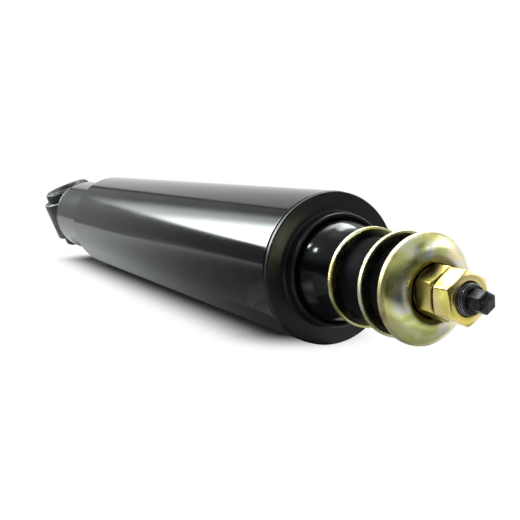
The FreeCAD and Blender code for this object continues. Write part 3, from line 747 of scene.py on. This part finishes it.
def black_oxide(name):
    """Blackened steel of the threaded stem, a little rubbed, with lighter thread crests that are partly wear
    and partly painted highlight.
    """
    material = new_material(name, OXIDE_COLOUR, metallic=0.75, roughness=0.38)
    vary_roughness(material, grain(material, scale=260, detail=4), smooth=0.28, rough=0.5)
    spots = grain(material, scale=420, detail=5)
    dark = ramp(material, spots, OXIDE_TINTS)
    # Lighter thread crests: partly wear, partly painted highlight
    crest_wear_and_highlight = ramp(material, spots, CREST_WEAR_AND_HIGHLIGHT_TINTS)
    set_colour(material, mix_colour(material, rim_share(material, CREST_WEAR_AND_HIGHLIGHT_ZONE), dark, crest_wear_and_highlight))
    bump(material, grain(material, scale=1800, detail=3), height=0.00005, strength=0.5)
    return material


def soft_plastic(name, colour, roughness):
    """Elastomer or bearing plastic with slight mottling."""
    material = new_material(name, colour, metallic=0, roughness=roughness)
    mottle(material, scale=150, detail=4, dark=(0.35, colour), light=(0.7, shade(colour, 1.25)))
    bump(material, grain(material, scale=1200, detail=2), height=0.00003, strength=0.4)
    return material


FINISHES = {
    "gloss_black_paint": gloss_paint("cover_black", (0.010, 0.011, 0.011), smooth=0.07, rough=0.13),
    "cylinder_paint": gloss_paint("cylinder_black", (0.012, 0.013, 0.013), smooth=0.10, rough=0.17),
    "eye_paint": satin_paint("eye_black", (0.024, 0.026, 0.031)),
    "black_rubber": rubber("mount_rubber", (0.006, 0.006, 0.007), shine=0.012),
    "seal_rubber": rubber("seal_rubber", (0.03, 0.03, 0.03)),
    "bumper_elastomer": soft_plastic("bumper_amber", (0.45, 0.32, 0.12), roughness=0.45),
    "yellow_zinc": zinc_plate("yellow_zinc"),
    "rod_steel": bare_metal(
        "rod_chrome", (0.62, 0.63, 0.64), smooth=0.08, rough=0.16, stretch=(8, 1, 1), relief=0.000006),
    "valve_steel": bare_metal("valve_steel", (0.45, 0.45, 0.46), smooth=0.22, rough=0.38, stretch=(3, 1, 1)),
    "sintered_iron": bare_metal("sintered_iron", (0.2, 0.2, 0.21), smooth=0.45, rough=0.65, relief=0.00015),
    "guide_bronze": bare_metal("guide_bronze", (0.55, 0.38, 0.2), smooth=0.25, rough=0.4, stretch=(6, 1, 1)),
    "band_plastic": soft_plastic("band_brown", (0.12, 0.1, 0.09), roughness=0.5),
}
STEM_BLACK = black_oxide("stem_black_oxide")
BUSH_BLACK = rubber(
    "bush_rubber", (0.014, 0.014, 0.017), shine=0.15, smooth=0.42, rough=0.56, relief=0.00002)
PLATE_BLACK = gloss_paint(
    "plate_black", (0.006, 0.006, 0.007), smooth=0.32, rough=0.42, index=DULL_PAINT_INDEX)
DOME_BLACK = gloss_paint(
    "dome_black", (0.003, 0.003, 0.004), smooth=0.13, rough=0.20, index=DULL_PAINT_INDEX)


def finished(piece, body, slot, *nodes, material=None):
    """Give a piece its finish, its body and the CAD nodes that it stands for."""
    piece.data.materials.append(material or FINISHES[slot])
    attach(piece, body)
    if nodes:
        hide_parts(*nodes)
    return piece


# Dust cover and its end
def make_dust_cover():
    """Long tube that moves with the rod."""
    start, end, radius = span("dust_cover")
    inner = radius - COVER_WALL
    outline = rounded([
        (start, radius, COVER_BACK_ROUND),
        (end, radius, COVER_FRONT_ROUND),
        (end, inner, COVER_FRONT_BORE_ROUND),
        (start, inner, COVER_BACK_BORE_ROUND),
    ])
    finished(lathe("dust_cover_tube", outline), "rod", "gloss_black_paint", "dust_cover")


def make_cover_end():
    """Flat end of the cover, with a skirt inside the tube and a turned-up lip round its hole."""
    skirt, lip, _ = span("cover_end_plate")
    face = lip - PLATE_FACE_BEHIND_LIP
    back = face - PLATE_RIM
    under = face - PLATE_THICK
    skirt_inner = PLATE_SKIRT_R - PLATE_THICK
    outline = rounded([
        (under, LIP_BORE_R),
        (lip, LIP_BORE_R, LIP_BORE_ROUND),
        (lip, LIP_R, LIP_ROUND),
        (face, LIP_R, LIP_FOOT_ROUND),
        (face, PLATE_RIM_R, PLATE_FRONT_ROUND),
        (back, PLATE_RIM_R, PLATE_BACK_ROUND),
        (back, PLATE_SKIRT_R),
        (skirt, PLATE_SKIRT_R, PLATE_SKIRT_ROUND),
        (skirt, skirt_inner, PLATE_SKIRT_ROUND),
        (under, skirt_inner),
    ])
    plate = lathe("cover_end_pressing", outline)
    finished(plate, "rod", "gloss_black_paint", "cover_end_plate", material=PLATE_BLACK)


def make_dome():
    """Round-topped cup in the middle of the end plate."""
    flange, seat, flange_r = span("dome_cup")
    flange_top = flange + DOME_FLANGE
    inner_r = DOME_R - DOME_WALL
    roof = seat - DOME_WALL
    centre = (seat - math.sqrt(DOME_R ** 2 - DOME_SEAT_R ** 2), 0)
    seat_angle = math.asin(DOME_SEAT_R / DOME_R)
    roof_angle = math.acos((roof - centre[0]) / inner_r)
    outline = [
        (flange, inner_r),
        (flange, flange_r),
        (flange_top, flange_r),
        (flange_top, DOME_R),
        *arc(centre, DOME_R, math.pi / 2, seat_angle, DOME_STEPS),
        (seat, STEM_HOLE_R),
        (roof, STEM_HOLE_R),
        *arc(centre, inner_r, roof_angle, math.pi / 2, DOME_INNER_STEPS),
    ]
    finished(lathe("dome_pressing", outline), "rod", "gloss_black_paint", "dome_cup", material=DOME_BLACK)


# Stem mount
def shear_marks(rim_r, seed):
    """Warp that cuts the fine shear marks of a blanked edge into a washer's rim, in uneven stretches."""
    def warp(along, radius, angle):
        if radius < rim_r - SHEAR_BAND:
            return along, radius
        here = Vector((math.cos(angle), math.sin(angle), seed))
        stretch = max(0, noise.noise(here * SHEAR_STRETCHES) + SHEAR_SHARE)
        wander = SHEAR_WANDER * noise.noise(here * SHEAR_WANDERINGS)
        tooth = (1 + math.cos(SHEAR_MARKS * angle + wander)) / 2
        return along, radius - SHEAR_DEPTH * stretch * tooth
    return warp


def finish_washer(node, outline):
    """Turn a washer with its sheared rim."""
    marks = shear_marks(span(node)[2], WASHER_SEEDS[node])
    washer = lathe(f"{node}_pressing", outline, segments=SHEAR_SEGMENTS_PER_MARK * SHEAR_MARKS, warp=marks)
    finished(washer, "rod", "yellow_zinc", node)


def make_cup_washer(node):
    """Dished washer that opens towards the stem's tip."""
    back, front, rim_r = span(node)
    floor = back + WASHER_THICK
    finish_washer(node, rounded([
        (back, WASHER_HOLE_R, WASHER_HOLE_ROUND),
        (floor, WASHER_HOLE_R, WASHER_HOLE_ROUND),
        (floor, CUP_FLAT_R, CUP_FLAT_ROUND),
        (front, rim_r - CUP_LAND, CUP_LAND_ROUND),
        (front, rim_r, CUP_LAND_ROUND),
        (front - RIM_EDGE, rim_r, RIM_EDGE_ROUND),
        (back, CUP_BACK_R, CUP_BACK_ROUND),
    ]))


def make_top_washer(node):
    """Crowned washer under the nuts, with a recess for the inner one."""
    under, crest, rim_r = span(node)
    back = span("upper_cushion")[1]
    face = back + WASHER_THICK
    crest_point = (crest, TOP_RECESS_R + TOP_RECESS_DEPTH)
    rim_front = (under + RIM_EDGE, rim_r)
    inner_rim = (under, rim_r - CUP_LAND)
    inner_hub = (back + TOP_RECESS_DEPTH, TOP_UNDER_R)
    recess = rounded([
        (back, WASHER_HOLE_R, WASHER_HOLE_ROUND),
        (face, WASHER_HOLE_R, WASHER_HOLE_ROUND),
        (face, TOP_RECESS_R, TOP_RECESS_ROUND),
    ])
    finish_washer(node, [
        *recess,
        crest_point,
        *arc_between(crest_point, rim_front, TOP_CROWN_R, TOP_CROWN_STEPS),
        rim_front,
        (under, rim_r),
        inner_rim,
        *reversed(arc_between(inner_hub, inner_rim, TOP_UNDER_CROWN_R, TOP_UNDER_STEPS)),
        inner_hub,
        (back, TOP_HUB_R),
    ])


def barrel(start, end, radius):
    """Side of a rubber cushion that swells a little in the middle."""
    points = []
    for step in range(CUSHION_BARREL_STEPS + 1):
        share = step / CUSHION_BARREL_STEPS
        points.append((start + (end - start) * share, radius - CUSHION_BARREL * (2 * share - 1) ** 2))
    return points


def make_cushion(node):
    """Rubber cushion that stands in the cup of a washer."""
    start, end, radius = span(node)
    end_r, taper = CUSHION_ENDS[node]
    side = barrel(start + CUSHION_CUP, end - taper, radius)
    outline = rounded([
        (end, WASHER_HOLE_R),
        (start, WASHER_HOLE_R),
        (start, CUSHION_FOOT_R, CUSHION_FOOT_ROUND),
        (*side[0], CUSHION_CUP_ROUND),
        *side[1:-1],
        (*side[-1], CUSHION_SIDE_ROUND),
        (end, end_r, CUSHION_END_ROUND),
    ])
    finished(lathe(f"{node}_moulding", outline), "rod", "black_rubber", node)


def make_nut(node):
    """Hexagon nut, bevelled at both faces and countersunk; a row of no radius follows the hexagon."""
    start, end, _ = span(node)
    segments = HEXAGON_SIDES * NUT_SIDE_SEGMENTS
    slope = math.tan(NUT_BEVEL)
    sunk_r = STEM_HOLE_R + NUT_COUNTERSINK
    rows = [
        (start + NUT_COUNTERSINK, STEM_HOLE_R, 0),
        (start, sunk_r, 0),
        (start, NUT_FACE_R, 0),
        (start, None, slope),
        (end, None, -slope),
        (end, NUT_FACE_R, 0),
        (end, sunk_r, 0),
        (end - NUT_COUNTERSINK, STEM_HOLE_R, 0),
    ]
    vertices = []
    for along, radius, inward in rows:
        for step in range(segments):
            angle = 2 * math.pi * step / segments
            r = hexagon_radius(angle - NUT_TURNS[node], NUT_ACROSS, NUT_CORNER) if radius is None else radius
            vertices.append(around_rod(along + inward * (r - NUT_FACE_R), r, angle))
    nut = mesh_object(f"{node}_hexagon", vertices, faces_between(equal_rows(len(rows), segments), True))
    edges = nut.modifiers.new("soft_edges", "BEVEL")
    edges.width = NUT_SOFT_EDGE
    edges.segments = NUT_SOFT_STEPS
    edges.limit_method = "ANGLE"
    edges.angle_limit = NUT_SOFT_ANGLE
    finished(nut, "rod", "yellow_zinc", node)


# Rod with its threaded stem and hexagon tip
def thread_warp(along, radius, angle):
    """Cut a helical thread into the stem, running out at its lower end."""
    if along < THREAD_START or along > STUD_END or radius < STUD_R - STUD_CHAMFER - THREAD_MARGIN:
        return along, radius
    turn = (along / THREAD_PITCH - angle / (2 * math.pi)) % 1
    crest = abs(2 * turn - 1)
    cut = THREAD_DEPTH * min(1, max(0, THREAD_SLOPE * crest - THREAD_CREST_FLAT))
    run_out = min(1, (along - THREAD_START) / THREAD_RUN_OUT)
    root = STUD_R - THREAD_DEPTH
    return along, min(radius, max(root, STUD_R - cut * run_out))


def make_rod():
    """Chromed rod with its spigot for the piston and its blackened threaded stem."""
    start = span("piston_rod")[0]
    outline = [
        (start, 0),
        (start, STUD_R - STUD_CHAMFER),
        (start + STUD_CHAMFER, STUD_R),
        (SPIGOT_END, STUD_R),
        (SPIGOT_END, ROD_R - SPIGOT_CHAMFER),
        (SPIGOT_END + SPIGOT_CHAMFER, ROD_R),
        (STUD_START - SHOULDER_CHAMFER, ROD_R),
        (STUD_START, ROD_R - SHOULDER_CHAMFER),
        (STUD_START, STUD_R),
    ]
    threaded = STUD_END - STUD_CHAMFER - THREAD_START
    rows = round(threaded / THREAD_PITCH * THREAD_ROWS_PER_TURN)
    for row in range(rows + 1):
        outline.append((THREAD_START + threaded * row / rows, STUD_R))
    for step in range(1, STUD_CHAMFER_STEPS + 1):
        share = step / STUD_CHAMFER_STEPS
        outline.append((STUD_END - STUD_CHAMFER * (1 - share), STUD_R - STUD_CHAMFER * share))
    outline.append((STUD_END, 0))
    rod = lathe("piston_rod_threaded", outline, segments=ROD_SEGMENTS, closed=False, warp=thread_warp)
    finished(rod, "rod", "rod_steel", "piston_rod")
    rod.data.materials.append(STEM_BLACK)
    for face in rod.data.polygons:
        face.material_index = int(face.center.x > STUD_START - STUD_FINISH_MARGIN)


def make_tip():
    """Hexagon tip by which the stem is held while the nuts are turned."""
    end = span("piston_rod")[1]
    segments = HEXAGON_SIDES * TIP_SIDE_SEGMENTS
    inset = TIP_BEVEL_INSET / TIP_ACROSS
    rows = [
        (STUD_END - TIP_ROOT, 0),
        (STUD_END - TIP_ROOT, 1),
        (end - TIP_BEVEL, 1),
        (end - TIP_BEVEL / 3, 1 - inset / 2),
        (end, 1 - inset),
        (end, 0),
    ]
    vertices = []
    rings = []
    for along, share in rows:
        count = segments if share else 1
        rings.append(range(len(vertices), len(vertices) + count))
        for step in range(count):
            angle = 2 * math.pi * step / segments
            r = share * hexagon_radius(angle - TIP_TURN, TIP_ACROSS, TIP_CORNER)
            vertices.append(around_rod(along, r, angle))
    tip = mesh_object("stem_hexagon_tip", vertices, faces_between(rings, False))
    finished(tip, "rod", "rod_steel", material=STEM_BLACK)


# Cylinder and eye
def make_reservoir():
    """Outer tube of the cylinder."""
    start, end, radius = span("reservoir_tube")
    inner = radius - RESERVOIR_WALL
    outline = rounded([
        (start, radius, RESERVOIR_BACK_ROUND),
        (end, radius, RESERVOIR_EDGE_ROUND),
        (end, inner, RESERVOIR_EDGE_ROUND),
        (start, inner, RESERVOIR_EDGE_ROUND),
    ])
    finished(lathe("reservoir_shell", outline), "cylinder", "cylinder_paint", "reservoir_tube")


def saddle(radius, angle):
    """Where a circle about the rod axis meets the outside of the eye ring."""
    across = radius * math.cos(angle - EYE_LEAN)
    return math.sqrt(SADDLE_R ** 2 - across ** 2)


def make_cap():
    """Cap that closes the cylinder, with its neck cut to a saddle on the eye ring."""
    end = span("base_cap")[1]
    seam = span("reservoir_tube")[0]
    inner = CAP_R - CAP_WALL
    outline = rounded([
        (0, AXIS_RADIUS / 2),
        (0, NECK_R / 2),
        (0, NECK_R),
        (NECK_END, NECK_R, NECK_ROUND),
        (seam, CAP_R, CAP_ROUND),
        (end, CAP_R),
        (end, inner),
        (CAP_FLOOR, inner),
        (CAP_FLOOR, AXIS_RADIUS / 2),
    ])

    def warp(along, radius, angle):
        return (saddle(radius, angle), radius) if along == 0 else (along, radius)

    cap = lathe("base_cap_pressing", outline, closed=False, warp=warp)
    finished(cap, "cylinder", "cylinder_paint", "base_cap")


def both_ends(upper):
    """Closed set of corners from those of the upper half, mirrored along the axis."""
    return upper + [(-corner[0], *corner[1:]) for corner in reversed(upper)]


def make_eye_ring():
    """Forged ring of the eye."""
    corners = both_ends([
        (RING_HALF, RING_BORE_R, RING_ROUND),
        (RING_HALF, RING_R - RING_CHAMFER, RING_ROUND),
        (RING_HALF - RING_CHAMFER, RING_R, RING_ROUND),
    ])
    ring = lathe("eye_ring_forging", rounded(corners), axis=EYE_AXIS)
    finished(ring, "cylinder", "eye_paint", "eye_ring")


def make_eye_bush():
    """Rubber bush of the eye, with a collar over each face of the ring."""
    collar = RING_HALF + BUSH_COLLAR_GAP
    corners = both_ends([
        (collar, BUSH_SLEEVE_R),
        (collar, BUSH_COLLAR_R, BUSH_FOOT_ROUND),
        (BUSH_COLLAR_HALF, BUSH_COLLAR_R, BUSH_COLLAR_ROUND),
        (BUSH_HALF, BUSH_END_R, BUSH_COLLAR_ROUND),
        (BUSH_HALF, BUSH_MOUTH_R, BUSH_MOUTH_ROUND),
        (BUSH_BORE_HALF, BUSH_BORE_R, BUSH_BORE_ROUND),
    ])
    bush = lathe("eye_bush_moulding", rounded(corners), axis=EYE_AXIS)
    finished(bush, "cylinder", "black_rubber", "eye_bush", material=BUSH_BLACK)


def weld_ripple(angle, seed):
    """Scale of a weld bead's section along its run."""
    lump = noise.noise(Vector((math.cos(angle) * WELD_LUMPS, math.sin(angle) * WELD_LUMPS, seed)))
    return 1 + WELD_RIPPLE_SHARE * math.cos(WELD_RIPPLES * angle) + WELD_LUMP_SHARE * lump


def make_eye_weld():
    """Bead along the saddle between the neck of the cap and the eye ring."""
    angles = [2 * math.pi * step / WELD_STEPS for step in range(WELD_STEPS)]
    line = [around_rod(saddle(NECK_R, angle), NECK_R, angle) for angle in angles]
    vertices = []
    for step, centre in enumerate(line):
        along = (line[(step + 1) % WELD_STEPS] - line[step - 1]).normalized()
        outward = Vector((0, centre.y, centre.z))
        outward = (outward - along * outward.dot(along)).normalized()
        third = along.cross(outward)
        radius = WELD_R * weld_ripple(angles[step], WELD_SEED)
        for turn in range(WELD_SECTION_STEPS):
            angle = 2 * math.pi * turn / WELD_SECTION_STEPS
            vertices.append(centre + (outward * math.cos(angle) + third * math.sin(angle)) * radius)
    rings = equal_rows(WELD_STEPS, WELD_SECTION_STEPS)
    finished(mesh_object("eye_weld", vertices, faces_between(rings, True)), "cylinder", "eye_paint")


def make_seam_weld():
    """Bead where the cap meets the end of the reservoir."""
    seam, _, radius = span("reservoir_tube")
    centre = (seam - SEAM_WELD_BACK, radius - RESERVOIR_WALL + SEAM_WELD_RISE)
    outline = arc(centre, SEAM_WELD_R, 0, 2 * math.pi, WELD_SECTION_STEPS)[:-1]

    def warp(along, section_r, angle):
        scale = 1 + SEAM_WELD_RIPPLE * (weld_ripple(angle, SEAM_WELD_SEED) - 1)
        return centre[0] + (along - centre[0]) * scale, centre[1] + (section_r - centre[1]) * scale

    weld = lathe("seam_weld", outline, segments=WELD_STEPS, warp=warp)
    finished(weld, "cylinder", "cylinder_paint")


def make_pieces():
    """Make every piece that shows, from the stem mount to the eye."""
    make_dust_cover()
    make_cover_end()
    make_dome()
    make_cup_washer("lower_cup_washer")
    make_cup_washer("middle_cup_washer")
    make_top_washer("top_cup_washer")
    for node in CUSHION_ENDS:
        make_cushion(node)
    for node in NUT_TURNS:
        make_nut(node)
    make_rod()
    make_tip()
    make_reservoir()
    make_cap()
    make_eye_ring()
    make_eye_bush()
    make_eye_weld()
    make_seam_weld()


def finish_inner_nodes():
    """Give every CAD node the finish of its slot, the inner ones that stay included."""
    for row in frame["record"]["subparts"]:
        mesh = frame["nodes"][row["node"]].data
        mesh.materials.clear()
        mesh.materials.append(FINISHES[row["material_slot"]])


# Studio
def floor_material():
    """White floor that keeps the shadow near the part and turns evenly white further out."""
    material = bpy.data.materials.new("studio_floor")
    tree = blank_tree(material)
    place = tree.nodes.new("ShaderNodeNewGeometry").outputs["Position"]
    offset = vector_step(tree, "SUBTRACT", place, FLOOR_MIDDLE)
    mirrored = vector_step(tree, "ABSOLUTE", offset)
    beyond = vector_step(tree, "SUBTRACT", mirrored, FLOOR_REACH)
    outside = vector_step(tree, "MAXIMUM", beyond, (0, 0, 0))
    distance = vector_step(tree, "LENGTH", outside)
    far = map_range(tree, distance, (FLOOR_NEAR, FLOOR_FAR), (0, 1), smooth=True)
    paint = tree.nodes.new("ShaderNodeBsdfDiffuse")
    paint.inputs["Color"].default_value = FLOOR_COLOUR
    glow = tree.nodes.new("ShaderNodeEmission")
    glow.inputs["Color"].default_value = WHITE
    surface = mix_shader(tree, far, paint.outputs["BSDF"], glow.outputs["Emission"])
    output = tree.nodes.new("ShaderNodeOutputMaterial")
    tree.links.new(surface, output.inputs["Surface"])
    return material


def make_floor():
    """Square floor under the part."""
    signs = ((-1, -1), (1, -1), (1, 1), (-1, 1))
    corners = [Vector((x * FLOOR_HALF, y * FLOOR_HALF, cad_box[0].z)) for x, y in signs]
    floor = mesh_object("studio_floor", corners, [[0, 1, 2, 3]])
    floor.data.materials.append(floor_material())


def between(ends, share):
    """Value at a share of the way between two ends."""
    return ends[0] + (ends[1] - ends[0]) * share


def eased(ends, share):
    """Value between two ends that leaves and reaches them smoothly."""
    return between(ends, share * share * (3 - 2 * share))


def direction(azimuth, elevation):
    """Unit vector by azimuth from -X towards -Y and elevation, both in degrees."""
    a = math.radians(azimuth)
    e = math.radians(elevation)
    return Vector((-math.cos(a) * math.cos(e), -math.sin(a) * math.cos(e), math.sin(e)))


def card_material(name):
    """Light whose strength is the glow stored in the card's vertices."""
    material = bpy.data.materials.new(name)
    tree = blank_tree(material)
    glow = tree.nodes.new("ShaderNodeAttribute")
    glow.attribute_name = "glow"
    light = tree.nodes.new("ShaderNodeEmission")
    light.inputs["Color"].default_value = CARD_TINT
    output = tree.nodes.new("ShaderNodeOutputMaterial")
    tree.links.new(glow.outputs["Fac"], light.inputs["Strength"])
    tree.links.new(light.outputs["Emission"], output.inputs["Surface"])
    return material


def reflection_card(name, place, glows, fades):
    """Card that only reflections show.

    Its place is a function of two shares; the glow runs along the first and fades over the second.
    """
    vertices = []
    values = []
    for row in range(CARD_STEPS + 1):
        for step in range(CARD_STEPS + 1):
            vertices.append(place(step / CARD_STEPS, row / CARD_STEPS))
            values.append(eased(glows, step / CARD_STEPS) * eased(fades, row / CARD_STEPS))
    rows = equal_rows(CARD_STEPS + 1, CARD_STEPS + 1)
    faces = []
    for low, high in zip(rows, rows[1:]):
        for step in range(CARD_STEPS):
            faces.append([low[step], low[step + 1], high[step + 1], high[step]])
    card = mesh_object(name, vertices, faces)
    card.data.attributes.new("glow", "FLOAT", "POINT").data.foreach_set("value", values)
    card.data.materials.append(card_material(name))
    card.visible_camera = False
    card.visible_diffuse = False
    card.visible_shadow = False


def arc_card(name, azimuths, elevations, glows, rising=False, fades=EVEN, distance=CARD_DISTANCE):
    """Reflection card on a wide arc round the part; its glow runs along the arc, or upwards if rising."""
    def place(first, second):
        along, up = (second, first) if rising else (first, second)
        return MIDDLE + direction(between(azimuths, along), between(elevations, up)) * distance
    reflection_card(name, place, glows, fades)


def floor_card(name, x_range, y_range, glows, fades=EVEN, slant=0, lift=CARD_LIFT):
    """Reflection card just above the floor; a slant moves it in x by the distance from its near side."""
    def place(along, across):
        y = between(y_range, across)
        x = between(x_range, along) + slant * (y - y_range[1])
        return Vector((x, y, cad_box[0].z + lift))
    reflection_card(name, place, glows, fades)


def make_cards():
    """Place all the reflection cards."""
    for part, azimuths, glows in WINDOW_PARTS:
        arc_card(f"card_window_{part}_foot", azimuths, (WINDOW_FOOT, WINDOW_FULL), glows, fades=RISING_FADE)
        arc_card(f"card_window_{part}", azimuths, (WINDOW_FULL, WINDOW_TOP), glows)
    for card in ARC_CARDS:
        arc_card(*card)
    for card in RISING_CARDS:
        arc_card(*card, rising=True)
    for card in GLINT_CARDS:
        arc_card(*card, distance=GLINT_DISTANCE)
    for *card, lift in SLANTED_CARDS:
        floor_card(*card, slant=FLOOR_SLANT, lift=lift)
    for card in FLOOR_CARDS:
        floor_card(*card)


def make_key_light():
    """Square softbox above the part, which casts the shadow; the cards stand in for it in reflections."""
    lamp = bpy.data.lights.new("key_light", "AREA")
    lamp.shape = "SQUARE"
    lamp.size = KEY_SIDE
    lamp.energy = KEY_RADIANCE * math.pi * KEY_SIDE ** 2
    key = bpy.data.objects.new("key_light", lamp)
    key.location = KEY_AIM + KEY_OFFSET
    key.rotation_euler = (-KEY_OFFSET).to_track_quat("-Z", "Y").to_euler()
    key.visible_glossy = False
    bpy.context.scene.collection.objects.link(key)


def background(tree, strength):
    """White background of a strength."""
    node = tree.nodes.new("ShaderNodeBackground")
    node.inputs["Color"].default_value = WHITE
    node.inputs["Strength"].default_value = strength
    return node.outputs["Background"]


def make_world():
    """White surroundings for the camera and for reflections, with a weaker fill light."""
    world = bpy.data.worlds.new("studio")
    bpy.context.scene.world = world
    tree = blank_tree(world)
    rays = tree.nodes.new("ShaderNodeLightPath")
    seen = rays.outputs["Is Camera Ray"]
    for ray in ("Is Glossy Ray", "Is Transmission Ray"):
        either = tree.nodes.new("ShaderNodeMath")
        either.operation = "MAXIMUM"
        tree.links.new(seen, either.inputs[0])
        tree.links.new(rays.outputs[ray], either.inputs[1])
        seen = either.outputs["Value"]
    surface = mix_shader(tree, seen, background(tree, FILL_STRENGTH), background(tree, 1.0))
    output = tree.nodes.new("ShaderNodeOutputWorld")
    tree.links.new(surface, output.inputs["Surface"])


def make_camera():
    """Camera at the photo's angle."""
    data = bpy.data.cameras.new("photo_camera")
    data.sensor_fit = "HORIZONTAL"
    data.sensor_width = SENSOR
    data.lens = SENSOR * FOCAL_PIXELS / PICTURE
    camera = bpy.data.objects.new("photo_camera", data)
    camera.location = CAMERA_PLACE
    level = math.cos(CAMERA_ELEVATION)
    looking = Vector((
        -math.sin(CAMERA_AZIMUTH) * level,
        math.cos(CAMERA_AZIMUTH) * level,
        -math.sin(CAMERA_ELEVATION),
    ))
    camera.rotation_euler = looking.to_track_quat("-Z", "Y").to_euler()
    bpy.context.scene.collection.objects.link(camera)
    bpy.context.scene.camera = camera


finish_inner_nodes()
make_pieces()
make_world()
make_floor()
make_key_light()
make_cards()
make_camera()
bpy.context.scene.view_settings.view_transform = "Standard"
